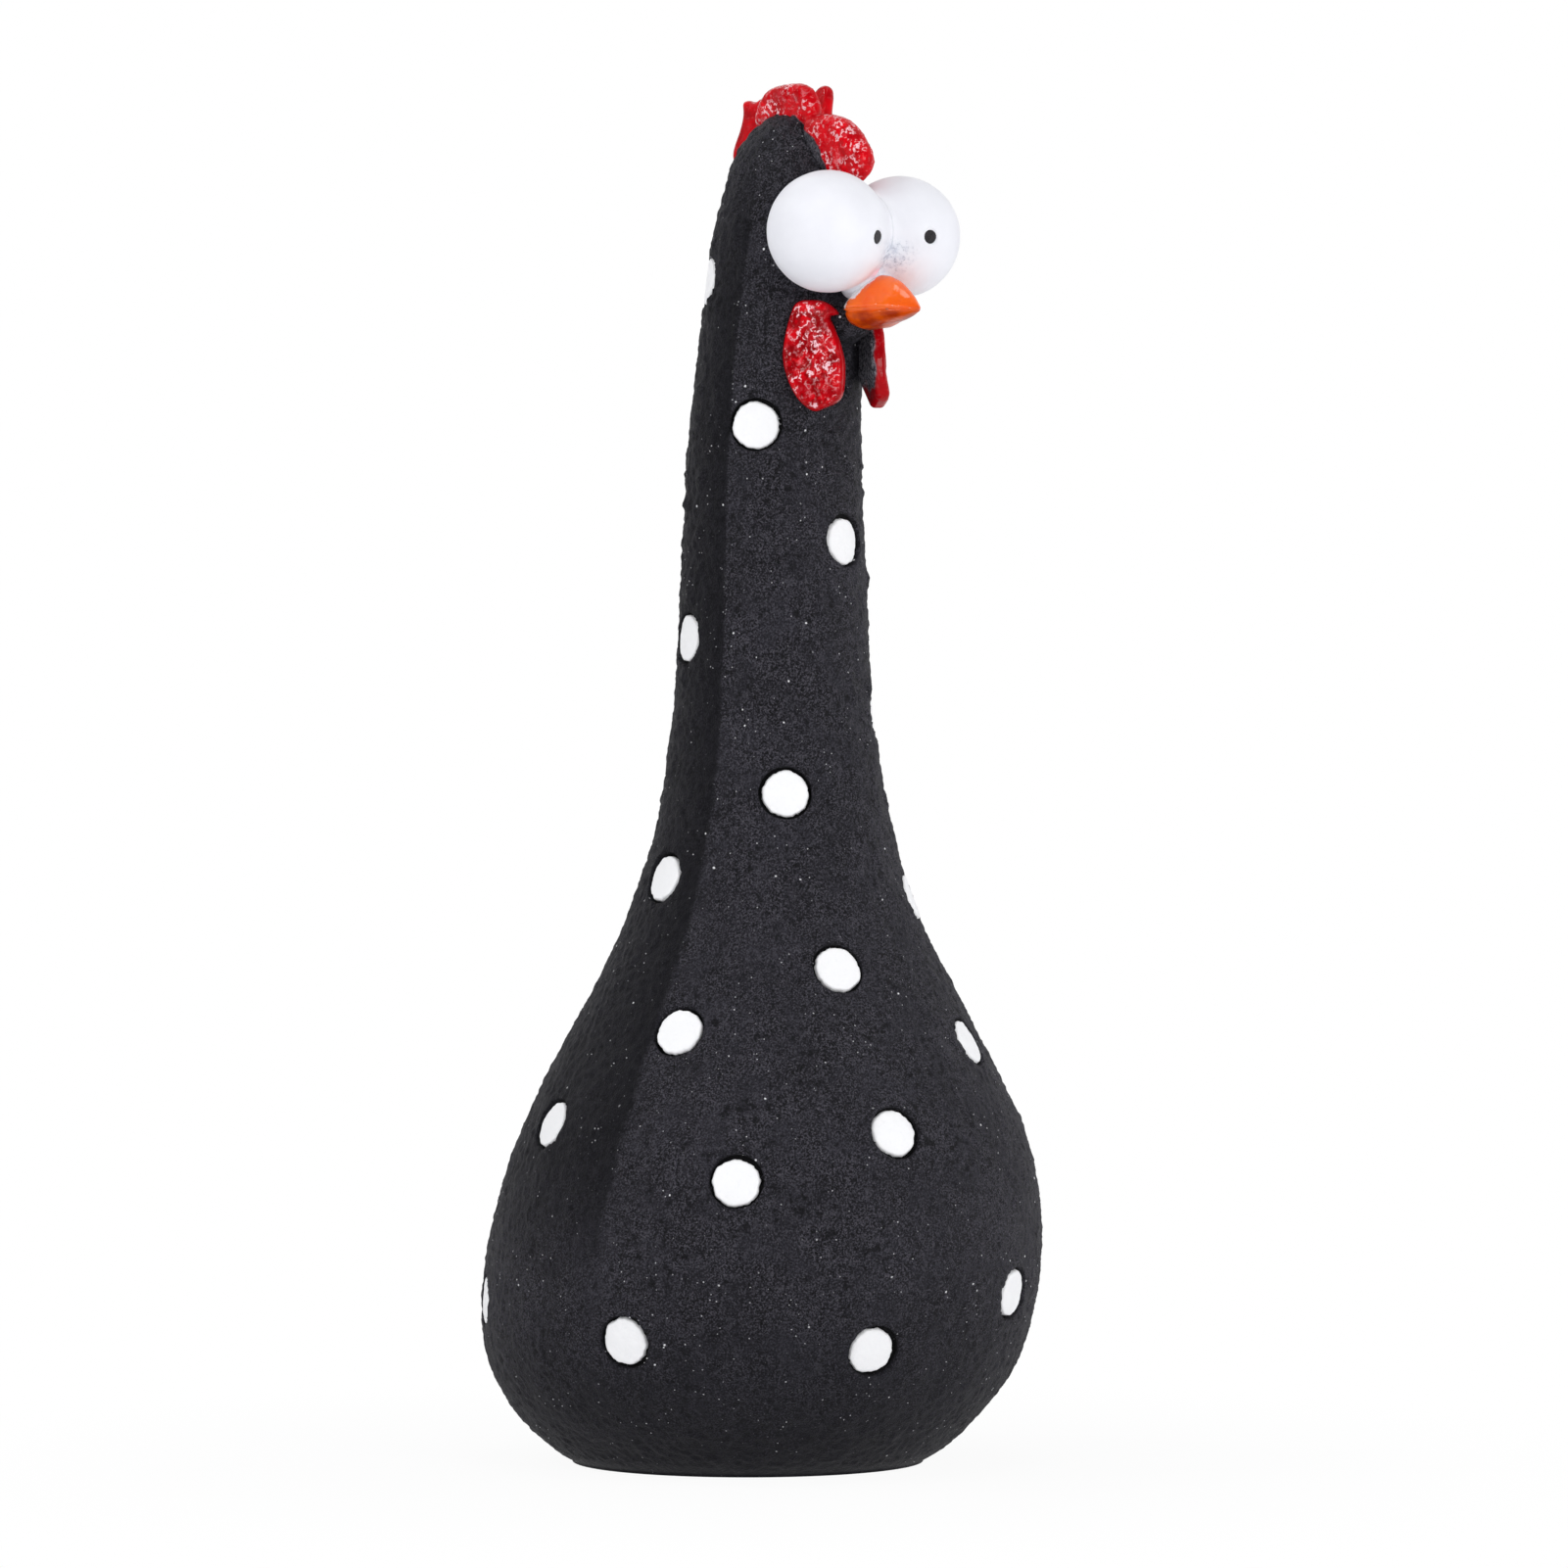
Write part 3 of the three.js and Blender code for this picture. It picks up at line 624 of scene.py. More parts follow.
def sanded(skin, normal):
    """The skin with its sandy relief, kept inside the CAD box, and its worn heel."""
    height = skin[:, 2]
    bumps = np.clip(grain(skin, BUMP_SIZE, BUMP_SEED) - BUMP_FLOOR, 0, 1)
    low, high = BUMP_HEIGHTS
    relief = layered(skin, SAND_RELIEF) + (low + (high - low) * smooth(height, *BUMP_RISE)) * bumps
    relief *= smooth(height, 0, SAND_START)
    room = [BOX_LIMIT[0] - np.abs(skin[:, 0]), BOX_LIMIT[1] - np.abs(skin[:, 1] + AXIS_Y)]
    moved = skin + normal * np.minimum(relief, np.minimum(*room))[:, None]
    tuck = HEEL_ROUND * np.clip(1 - height / HEEL_ROUND_HEIGHT, 0, 1) ** 2
    moved -= normal * (1, 1, 0) * tuck[:, None]
    moved[:, 2] = np.maximum(moved[:, 2], 0)
    return moved


def painted_shade_of(skin):
    """How much painted shade lies behind the crease and over the foot."""
    height = skin[:, 2]
    bearing = np.arctan2(skin[:, 0], section_offset(height) - skin[:, 1])
    painted_shade = crest(behind_ridge(bearing, height), SHADE_FRONT, SHADE_BACK)
    painted_shade *= ridge_fade(height) ** 0.5
    return np.maximum(painted_shade, FOOT_SHADE * (1 - smooth(height, 0, FOOT_SHADE_HEIGHT)))


def press_recesses(skin, moved):
    """Sinks a round recess under each dot and returns 1 where the skin sank, where painted shade
    goes.
    """
    recess = np.zeros(len(skin))
    for _, _, middle, outward in dot_frames():
        near = np.nonzero(np.abs(skin - middle).max(1) < 7)[0]
        local = skin[near] - middle
        lift = local @ outward
        flat = local - lift[:, None] * outward
        reach = np.linalg.norm(flat, axis=1)
        on_side = np.abs(lift) < 3.5
        rim = on_side & (np.abs(reach - RECESS_RADIUS) < 0.24)
        sunk = on_side & (reach < RECESS_RADIUS - 0.24)
        wall = sunk & (reach > RECESS_RADIUS - 0.8)
        target = RECESS_RADIUS * rim + (RECESS_RADIUS - 0.1) * wall
        pull = (target / np.maximum(reach, 1e-6) - 1) * (rim | wall)
        moved[near] += flat * pull[:, None]
        moved[near[sunk]] -= outward * RECESS_DEPTH
        recess[near[sunk]] = 1
    return recess


def body_skin():
    """The casting's sandy skin, with a recess under each dot and the hollow inside."""
    outside, faces = skin_grid()
    inside = hollow_rings()
    outer = len(outside)
    points = np.concatenate([outside, *inside])
    rest = len(points) - outer
    faces += woven(outer - BELLY_SPOKES, BELLY_SPOKES, len(inside) + 1)
    faces.append(tuple(range(len(points) - BELLY_SPOKES, len(points))))
    skin = points[:outer]
    swell_chin(skin)
    moved = sanded(skin, normals_of(points, faces)[:outer])
    painted_shade = painted_shade_of(skin)
    recess = press_recesses(skin, moved)
    points[:outer] = moved
    for axis, middle in ((0, 0), (1, -AXIS_Y)):
        low, high = middle - BOX_LIMIT[axis], middle + BOX_LIMIT[axis]
        points[:, axis] = np.clip(points[:, axis], low, high)
    # Masks of painted shade: the recesses and the hollow inside, behind the crease and over the
    # foot
    masks = {
        "recess": np.concatenate([recess, np.ones(rest)]),
        "painted_shade": np.concatenate([painted_shade, np.zeros(rest)]),
    }
    return make_piece("body_skin", points, faces, masks)


def dot_paint(name, work, centre, normal, seed):
    """A ragged film of enamel on the floor of one recess."""
    turn = seed * 2.4
    usual = (PAINT_FILM, PAINT_SLIP * math.cos(turn), PAINT_SLIP * math.sin(turn))
    thickness, *slip = work or usual
    side, up = tangents(normal)
    rings, spokes = 12, 72
    angle = turns(spokes)
    circle = np.stack([np.cos(angle), np.sin(angle), 0 * angle], -1)
    ragged = 0.18 * grain(circle * 3 + seed, 1.6, seed) + 0.17 * grain(circle * 3, 0.5, seed + 3)
    edge = np.clip(PAINT_RADIUS + ragged, 2.9, RECESS_RADIUS + 0.1)
    points, share = [centre], [0.0]
    for k in range(1, rings + 1):
        reach = (k / rings) ** 0.5
        u, v = reach * edge * np.cos(angle) + slip[0], reach * edge * np.sin(angle) + slip[1]
        points.extend(centre + u[:, None] * side + v[:, None] * up)
        share.extend([reach] * spokes)
    points, share = np.array(points), np.array(share)
    for _ in range(4):
        points = points - normal * body_distance(points)[:, None]
    coat = thickness * (1 - share ** 44) + 0.05
    coat += layered(points, [(0.08, 1.4, seed + 5), (0.03, 0.6, seed + 6)])
    top = points - normal * (RECESS_DEPTH - coat)[:, None]
    return film_piece(name + "_paint", top, top[-spokes:] - normal * 0.3, rings, spokes)


def base_plate():
    """The disc that closes the underside, with a softly rounded edge."""
    bearing, middle = turns(160), float(section_offset(0))
    rings = [ring(bearing, DISC_RADIUS + inset, middle, height) for inset, height in DISC_EDGE]
    return make_piece("base_disc_face", np.concatenate(rings), tube(len(bearing), len(rings)))


# Eyes

def eye_centre(hand):
    return np.array([hand * EYE_SIDE, -EYE_AHEAD, EYE_HEIGHT])


def eye_distance(points):
    right, left = (
        np.linalg.norm(points - eye_centre(hand), axis=1) - EYE_RADIUS for hand in HANDS.values()
    )
    bridge = ball_distance(points, BRIDGE_CENTRE, BRIDGE_HALVES)
    return blended(blended(right, left, EYE_BLEND), bridge, BRIDGE_BLEND)


def sight(name):
    """The direction in which one eye looks."""
    toe_in, down = (math.radians(v) for v in PUPIL_SIGHT[name])
    x, y = -HANDS[name] * math.sin(toe_in), -math.cos(toe_in)
    return np.array([math.cos(down) * x, math.cos(down) * y, -math.sin(down)])


def eye_ball(name):
    """One eyeball, joined to its neighbour along the middle plane, with a pit for the pupil."""
    hand = HANDS[name]
    centre = eye_centre(hand)
    bpy.ops.mesh.primitive_ico_sphere_add(subdivisions=7, radius=1)
    source = bpy.context.object
    ray = unit(np.array([v.co[:] for v in source.data.vertices]))
    faces = [tuple(face.vertices) for face in source.data.polygons]
    bpy.data.objects.remove(source)

    def field(points):
        return np.maximum(eye_distance(points), -hand * points[:, 0] + 0.01)

    reach = np.minimum(reach_inside(field, centre, ray, 4.0, 12.0, 20), EYE_RADIUS + 1.2)
    points = centre + ray * reach[:, None]
    free = smooth(hand * points[:, 0], 0.05, 0.9)
    points += ray * (free * layered(points, EYE_COAT))[:, None]
    off = np.arccos(np.clip(ray @ sight(name), -1, 1)) * EYE_RADIUS
    rim = 0.06 * bell(off - PUPIL_RADIUS - 0.28, 0.16)
    pit = PIT_DEPTH * (1 - smooth(off, PUPIL_RADIUS - 0.12, PUPIL_RADIUS + 0.12))
    points += ray * (rim - pit)[:, None]
    height = points[:, 2]
    valley = bell(points[:, 0], SMUDGE_AND_SHADE_WIDTH) * smooth(-points[:, 1], *SMUDGE_AND_SHADE_AHEAD)
    smudge_and_shade = valley * (1 - smooth(height, *SMUDGE_AND_SHADE_TOP)) * smooth(height, *SMUDGE_AND_SHADE_BOTTOM)
    local = points - (centre + STREAK_MIDDLE)
    streak = bell(local @ STREAK_ALONG, STREAK_LENGTH) * bell(local @ STREAK_ACROSS, STREAK_WIDTH)
    masks = {"smudge_and_shade": smudge_and_shade, "blush": streak * (hand < 0)}
    return make_piece(f"eye_{name}_paint", points, faces, masks)


def pupil_paint(name):
    """A small uneven spot of enamel in the pit of one eye."""
    centre, look = eye_centre(HANDS[name]), sight(name)
    side, up = tangents(look)
    rings, spokes = 6, 32
    angle = turns(spokes)
    wobble = 1 + 0.03 * np.sin(3 * angle + 0.7)
    points = [centre + look * (EYE_RADIUS - PUPIL_DEPTH)]
    for k in range(1, rings + 1):
        reach = k / rings
        spread = PUPIL_RADIUS * reach * wobble
        lift = EYE_RADIUS - PUPIL_DEPTH - 0.02 * reach ** 2 - 0.12 * reach ** 12
        across = np.outer(spread * np.cos(angle), side) + np.outer(spread * np.sin(angle), up)
        points.extend(centre + look * lift + across)
    under = np.array(points[-spokes:]) - look * 0.3
    return film_piece(f"pupil_{name}_paint", points, under, rings, spokes)


def bridge_paint():
    """The white saddle between the eyes that carries the beak."""
    def field(points):
        return ball_distance(points, BRIDGE_CENTRE, BRIDGE_HALVES)

    points, faces = surface_net(field, (-4.2, -23.2, 167.0), (4.2, -14.2, 174.6), 0.2)
    points = settled(field, points)
    points = points + gradient(field, points) * (0.04 * grain(points, 1.6, 61))[:, None]
    masks = {"smudge_and_shade": np.zeros(len(points)), "blush": np.full(len(points), 0.05)}
    return make_piece("face_bridge_paint", points, faces, masks)


# Beak

def beak_paint():
    """A ridged upper half and a slightly smaller lower half, with a groove between them."""
    stations, around = 90, 120
    ahead = BEAK_ROOT + (BEAK_TIP - BEAK_ROOT) * np.sin(np.linspace(0, np.pi / 2, stations))
    profiles = (BEAK_RIDGE, BEAK_KEEL, BEAK_HALF)
    top, low, half = (np.interp(ahead, *zip(*profile))[:, None] for profile in profiles)
    ahead = ahead[:, None]
    middle = GAPE_HEIGHT - 0.15 * smooth(ahead, 25, BEAK_TIP)
    angle = turns(around)
    cosine, sine = np.cos(angle), np.sin(angle)
    above = sine >= 0
    off_side = np.abs(np.mod(angle + np.pi / 2, np.pi) - np.pi / 2)
    groove = GROOVE_DEPTH * bell(off_side - GROOVE_TURN, GROOVE_WIDTH)
    width = np.abs(cosine) ** np.where(above, UPPER_SIDE, LOWER_SIDE) * (1 - groove)
    x = half * np.where(above, 1, LOWER_WIDTH) * np.sign(cosine) * width
    rise = (top - middle) * np.abs(sine) ** UPPER_RISE
    drop = (middle - low) * np.abs(sine) ** LOWER_DROP
    z = middle + np.where(above, rise, -drop)
    points = np.stack([x, -ahead + 0 * x, z], -1).reshape(-1, 3)
    faces = tube(around, stations)
    normal = normals_of(points, [face for face in faces if len(face) == 4])
    ahead = -points[:, 1]
    fade = smooth(ahead, BEAK_ROOT, BEAK_ROOT + 1) * (1 - smooth(ahead, BEAK_TIP - 0.6, BEAK_TIP))
    points = points + normal * (layered(points, BEAK_COAT) * fade)[:, None]
    ahead, height = -points[:, 1], points[:, 2]
    climb = np.clip((height - GAPE_HEIGHT) / WHITE_LEAN_HEIGHT, 0, 1)
    border = WHITE_ROOT + WHITE_LEAN * climb + layered(points, WHITE_RAGGED)
    masks = {
        "lower": 1 - smooth(height, GAPE_HEIGHT - 0.9, GAPE_HEIGHT + 0.1),
        "gape": bell(height - GAPE_HEIGHT, 0.3),
        "white": (height > GAPE_HEIGHT) * smooth(border - ahead, -0.04, 0.04),
    }
    return make_piece("beak_paint", points, faces, masks)


# Wattles

def wattle_paint(name):
    """A flat lobe with a pebbled outer face; its back is painted as the neck is."""
    hand, turn = HANDS[name], math.radians(WATTLE_TURN)
    along = np.array([-hand * math.cos(turn), -math.sin(turn), 0])
    outward = np.array([hand * math.sin(turn), -math.cos(turn), 0])
    origin = np.array(WATTLE_ROOT[name])
    outline = Outline(WATTLE_OUTLINE)

    def local(points):
        offset = points - origin
        return offset @ along, offset[:, 2], offset @ outward

    def in_place(spots):
        u, v, w = spots[:, :1], spots[:, 1:2], spots[:, 2:]
        return origin + u * along + w * outward + v * np.array([0, 0, 1])

    def field(points):
        u, v, w = local(points)
        flare = WATTLE_FLARE * smooth(-v, 10, 15) * (hand > 0)
        return plate_distance(outline(u, v), w - flare, WATTLE_THICKNESS / 2, WATTLE_ROUNDING)

    points, faces = surface_net(lambda spots: field(in_place(spots)), *WATTLE_GRID)
    if np.dot(np.cross(along, (0, 0, 1)), outward) < 0:
        faces = [face[::-1] for face in faces]
    points = settled(field, in_place(points))
    normal = unit(gradient(field, points))
    u, v, w = local(points)
    inset = smooth(-outline(u, v), 0.1, 0.7)
    face_on = smooth(normal @ outward, 0.3, 0.8)
    pebbled = face_on * inset
    pebbles = 0.07 * worms(points * (1, 1, 0.6), 1.3, 41) + 0.13 * grain(points, 2.6, 45)
    dish = WATTLE_DISH * smooth(-outline(u, v), 0.4, 2.6)
    back_coat = 0.04 * grain(points, 2, 43)
    relief = pebbled * (pebbles - dish) + (1 - face_on) * back_coat
    points = points + normal * relief[:, None]
    back = 1 - smooth(w + 0.35 * grain(points, 1.6, 44), -0.75, -0.45)
    # The wattles are shaded all over: their red gets painted shade and their black backs painted
    # light
    masks = {"back": back, "pebbled": pebbled, "shaded": np.ones(len(points))}
    return make_piece(f"wattle_{name}_paint", points, faces, masks)


# Comb

def comb_paint():
    """A crest over the crown with four lobes joined by fillets."""
    plates = [(*plate, Outline(outline)) for *plate, outline in COMB_PLATES]
    crest_middle = (0, float(section_offset(CROWN_HEIGHT)), DOME_BASE)

    def plate_field(plate, points):
        side, lean, foot, half, _, outline = plate
        lean = math.radians(lean)
        x, rise = points[:, 0] - side, points[:, 2] - foot
        across = x * math.cos(lean) + rise * math.sin(lean)
        height = foot - x * math.sin(lean) + rise * math.cos(lean)
        return plate_distance(outline(-points[:, 1], height), across, half, half * 0.96)

    def field(points):
        total = ball_distance(points, crest_middle, CREST_HALVES)
        total = np.maximum(total, CREST_FLOOR - points[:, 2])
        for plate in plates:
            total = blended(total, plate_field(plate, points), COMB_BLEND)
        return total

    points, faces = surface_net(field, *COMB_GRID)
    points = settled(field, points)
    normal = unit(gradient(field, points))
    pebbled = np.zeros(len(points))
    for plate in plates:
        *_, most, outline = plate
        near = 1 - smooth(plate_field(plate, points), 0.0, 0.7)
        deep = smooth(-outline(-points[:, 1], points[:, 2]), -0.2, 0.8)
        pebbled = np.maximum(pebbled, near * (0.35 + 0.65 * deep) * most)
    off_valley = np.hypot(-points[:, 1] - COMB_VALLEY[0], points[:, 2] - COMB_VALLEY[1])
    pebbled *= 1 - bell(off_valley, VALLEY_RADIUS)
    pebbles = 0.09 * worms(points, 1.0, 51) + 0.07 * grain(points, 1.2, 52)
    points = points + normal * (pebbled * pebbles + 0.09 * grain(points, 3, 53))[:, None]
    points[:, 2] = np.minimum(points[:, 2], BOX_LIMIT[2])
    ahead = -points[:, 1] + 0.35 * grain(points, 1.2, 54)
    above_black = points[:, 2] - np.interp(ahead, *zip(*COMB_BLACK))
    over_black = (ahead > COMB_BLACK[0][0]) * (ahead < COMB_BLACK[-1][0])
    black = smooth(-above_black, -0.1, 0.1) * over_black
    # The comb is not shaded: its red pebbles are painted brighter, as painted light
    masks = {"pebbled": pebbled, "back": black, "shaded": np.zeros(len(points))}
    return make_piece("comb_paint", points, faces, masks)


# Paints

class Nodes:
    """Short calls for the nodes of one tree; a socket can stand for any value."""

    def __init__(self, tree):
        self.tree = tree

    def feed(self, value, target):
        if isinstance(value, bpy.types.NodeSocket):
            self.tree.links.new(value, target)
        else:
            target.default_value = (*value, 1) if target.type == "RGBA" else value

    def node(self, kind, inputs=(), **settings):
        made = self.tree.nodes.new("ShaderNode" + kind)
        for key, value in settings.items():
            setattr(made, key, value)
        for key, value in dict(inputs).items():
            self.feed(value, made.inputs[key])
        return made

    def math(self, operation, *values):
        return self.node("Math", dict(enumerate(values)), operation=operation).outputs[0]

    def times(self, product, *factors):
        for factor in factors:
            product = self.math("MULTIPLY", product, factor)
        return product

    def span(self, value, low, high, to_low=0, to_high=1, **settings):
        """The span from low to high turned into the span from to_low to to_high, and clamped."""
        inputs = {"Value": value, "From Min": low, "From Max": high}
        inputs.update({"To Min": to_low, "To Max": to_high})
        return self.node("MapRange", inputs, clamp=True, **settings).outputs["Result"]

    def mixed(self, share, first, second):
        return self.node("Mix", {0: share, 6: first, 7: second}, data_type="RGBA").outputs[2]

    def mixed_shader(self, share, first, second):
        return self.node("MixShader", {0: share, 1: first, 2: second}).outputs[0]


class Paint(Nodes):
    """A material built up in layers of colour and bumps; sizes and depths are in millimetres."""

    def __init__(self, name, **values):
        self.material = bpy.data.materials.new(name)
        self.material.use_nodes = True
        super().__init__(self.material.node_tree)
        self.shader = self.tree.nodes["Principled BSDF"]
        self.place = self.node("TexCoord").outputs["Object"]
        self.colour = self.normal = None
        self.dress(**values)

    def dress(self, **values):
        """Feeds the shader's inputs."""
        for key, value in values.items():
            self.feed(value, self.shader.inputs[key.replace("_", " ")])

    def mask(self, name):
        return self.node("Attribute", attribute_name=name).outputs["Fac"]

    def noise(self, size, detail=2, roughness=0.5):
        inputs = {"Vector": self.place, "Scale": 1 / (size * MM), "Detail": detail}
        return self.node("TexNoise", {**inputs, "Roughness": roughness}).outputs["Fac"]

    def specks(self, size, radius, rarity):
        """1 inside small ragged spots, of which only the share above rarity is kept."""
        inputs = {"Vector": self.place, "Scale": 1 / (size * MM)}
        cells = self.node("TexVoronoi", inputs, feature="F1").outputs
        chance = self.node("SeparateColor", {0: cells["Color"]}).outputs[0]
        kept = self.span(chance, rarity, rarity + 0.005)
        edge = self.noise(size * radius * 1.6)
        ragged = self.math("MULTIPLY_ADD", edge, radius * 1.5, cells["Distance"])
        return self.times(kept, self.span(ragged, radius * 1.5, radius * 1.9, 1, 0))

    def strokes(self, size, width):
        """1 along thin winding lines, where a noise passes its middle."""
        off = self.math("SUBTRACT", self.noise(size, 2, 0.6), 0.5)
        return self.span(self.math("ABSOLUTE", off), 0.3 * width, width, 1, 0)

    def ground(self, noise, first, second, low=0.35, high=0.65):
        """The first layer of colour, mottled between two tones."""
        self.colour = self.mixed(self.span(noise, low, high), first, second)

    def lay(self, colour, *shares):
        """Covers the colour so far with another, as far as the product of the shares says."""
        self.colour = self.mixed(self.times(*shares), self.colour, colour)

    def emboss(self, height, depth):
        """Adds a bump to the normal so far."""
        inputs = {"Strength": 1, "Distance": depth * MM, "Height": height}
        if self.normal is not None:
            inputs["Normal"] = self.normal
        self.normal = self.node("Bump", inputs).outputs["Normal"]

    def finish(self, noise, low, high, least=None):
        """Sets the roughness from low to high by a noise, or to least where that is more."""
        rough = self.span(noise, 0.3, 0.7, low, high)
        if least is not None:
            rough = self.math("MAXIMUM", rough, least)
        self.dress(Base_Color=self.colour, Normal=self.normal, Roughness=rough)
        return self.material


def black_sand():
    """Charcoal sand: painted shade in hollows, painted highlights on crests, white flecks partly
    painted glints; painted shade by two masks.
    """
    paint = Paint("black_sand", Specular_IOR_Level=0.14)
    grit = paint.noise(0.27, 2, 0.7)
    wrinkle = paint.noise(1.1, 3, 0.6)
    coarse = paint.span(paint.noise(5.5, 3, 0.6), 0.36, 0.56, 0.5, 1)
    patchy_hollow_shade = paint.span(paint.noise(7), 0.4, 0.56, 0.3, 1)
    patchy = paint.span(paint.noise(5), 0.48, 0.58, 0.1, 1)
    cluster = paint.span(paint.noise(8), 0.6, 0.64)
    cloud = paint.noise(9, 4, 0.6)
    paint.ground(cloud, (0.0165, 0.016, 0.0215), (0.0265, 0.0256, 0.034), 0.38, 0.64)
    # Sand grain, with painted shade in the hollows of its bump and painted highlights on its crests
    paint.lay((0.002, 0.0018, 0.0025), coarse, paint.span(grit, 0.4, 0.49, 1, 0))
    paint.lay((0.088, 0.083, 0.1), coarse, paint.span(grit, 0.51, 0.62, 0, 0.85))
    # Painted highlights on the crests of the wrinkles and painted shade in their hollows, in
    # patches
    paint.lay((0.075, 0.071, 0.086), paint.span(wrinkle, 0.58, 0.66, 0, 0.35))
    paint.lay((0.002, 0.002, 0.003), paint.span(wrinkle, 0.36, 0.44, 1, 0), patchy_hollow_shade, 0.75)
    # Painted shade, darker behind the crease and over the foot
    paint.lay((0.002, 0.002, 0.004), paint.mask("painted_shade"), 0.8)
    # Painted shade, near black in the recesses under the dots and over the hollow inside
    paint.lay((0.001, 0.001, 0.0015), paint.mask("recess"), 0.97)
    # White flecks of paint, partly standing in as painted glints on the sand
    paint.lay((0.6, 0.6, 0.63), paint.specks(0.62, 0.16, 0.85), patchy)
    paint.lay((0.85, 0.85, 0.88), paint.specks(1.6, 0.11, 0.96))
    paint.lay((0.85, 0.85, 0.88), paint.specks(0.9, 0.17, 0.86), cluster)
    paint.emboss(wrinkle, 0.35)
    paint.emboss(grit, 0.3)
    return paint.finish(grit, 0.5, 0.8)


def dot_enamel():
    paint = Paint("dot_enamel", Specular_IOR_Level=0.3)
    fine = paint.noise(0.5, 3, 0.6)
    paint.ground(fine, (0.925, 0.93, 0.945), (0.96, 0.96, 0.97), 0.28, 0.46)
    paint.emboss(paint.noise(1.5), 0.1)
    paint.emboss(fine, 0.06)
    return paint.finish(fine, 0.4, 0.6)


def eye_enamel():
    """Brushed white; painted shade in the valley between the eyes with strokes and flecks, and pink
    in the streak.
    """
    paint = Paint("eye_enamel", Specular_IOR_Level=0.3)
    stretch = {"Scale": (1100, 420, 260), "Rotation": (0.4, 0.7, 0.5), "Vector": paint.place}
    brushed = {"Vector": paint.node("Mapping", stretch).outputs[0], "Scale": 1, "Detail": 3}
    strokes = paint.node("TexNoise", brushed).outputs["Fac"]
    smudge_and_shade, blush = paint.mask("smudge_and_shade"), paint.mask("blush")
    grime_and_shade = paint.span(paint.noise(0.9, 4, 0.75), 0.44, 0.62)
    flecks = paint.span(paint.noise(0.45, 3, 0.7), 0.6, 0.65)
    paint.ground(paint.noise(5), (0.872, 0.875, 0.925), (0.898, 0.902, 0.95))
    # Painted shade in the valley between the eyes, cool grey, with strokes partly grime and partly
    # painted shade, and dark flecks
    paint.lay((0.74, 0.85, 0.95), smudge_and_shade, 0.6)
    paint.lay((0.3, 0.36, 0.5), smudge_and_shade, grime_and_shade, 0.8)
    paint.lay((0.1, 0.1, 0.14), smudge_and_shade, flecks, 0.7)
    paint.lay((0.98, 0.56, 0.6), blush, paint.span(paint.noise(1.2), 0.35, 0.55, 0.4, 1))
    paint.emboss(strokes, 0.05)
    paint.emboss(paint.noise(0.7, 3), 0.02)
    return paint.finish(strokes, 0.38, 0.55)


def pupil_enamel():
    paint = Paint("pupil_enamel", Specular_IOR_Level=0.2)
    fine = paint.noise(0.3)
    paint.ground(fine, (0.012, 0.011, 0.013), (0.035, 0.03, 0.034))
    paint.emboss(fine, 0.03)
    return paint.finish(fine, 0.35, 0.5)


def red_enamel():
    """Wet red with painted shade in its hollows and on the wattles, painted light on the comb, and
    painted sheen and glints.
    """
    paint = Paint("red_enamel", Specular_IOR_Level=0.1)
    pebbled, shaded, back = (paint.mask(name) for name in ("pebbled", "shaded", "back"))
    broad = paint.noise(2.6, 3)
    painted_hollow_shade = paint.span(paint.noise(2.2, 3, 0.6), 0.47, 0.55, 0, 0.8)
    painted_sheen = paint.span(paint.noise(0.8, 3, 0.6), 0.52, 0.66, 0, 0.2)
    paint.ground(broad, (0.4, 0.001, 0.005), (0.7, 0.0015, 0.008))
    # Painted light: the comb's pebbles brighter red than the wattles'
    paint.lay((0.9, 0.003, 0.012), paint.span(shaded, 0, 1, 0.4, 0), pebbled)
    # Painted shade: the wattles darker red round their margins
    paint.lay((0.3, 0.001, 0.004), paint.span(pebbled, 0, 0.6, 0.65, 0), shaded)
    # Painted shade in the hollows of the pebbles, fuller on the wattles
    paint.lay((0.22, 0.0005, 0.002), pebbled, painted_hollow_shade, paint.span(shaded, 0, 1, 0.45, 1))
    # Painted sheen, a pink wash on the pebbles
    paint.lay((0.9, 0.12, 0.17), pebbled, painted_sheen)
    # Painted glints: pale strokes on the pebbles standing in for highlights
    painted_glints = [
        paint.strokes(1.3, 0.06),
        paint.span(paint.noise(0.8), 0.46, 0.54),
        paint.span(paint.noise(4), 0.42, 0.56, 0.15, 1),
        paint.span(pebbled, 0.2, 0.7, 0.04, 1),
    ]
    paint.lay((0.98, 0.6, 0.65), *painted_glints)
    # Black backs with pale grit; on the wattles the grit is thicker, as painted light on their
    # shaded backs
    grit = paint.span(paint.noise(0.42, 3, 0.7), 0.42, 0.62)
    grit = paint.times(grit, paint.span(shaded, 0, 1, 0.3, 1))
    paint.lay(paint.mixed(grit, (0.03, 0.0285, 0.036), (0.3, 0.29, 0.325)), back)
    paint.emboss(broad, 0.12)
    paint.emboss(paint.times(paint.noise(1, 1), paint.span(pebbled, 0, 1, 0.12, 1)), 0.17)
    return paint.finish(broad, 0.08, 0.16, paint.times(back, 0.75))


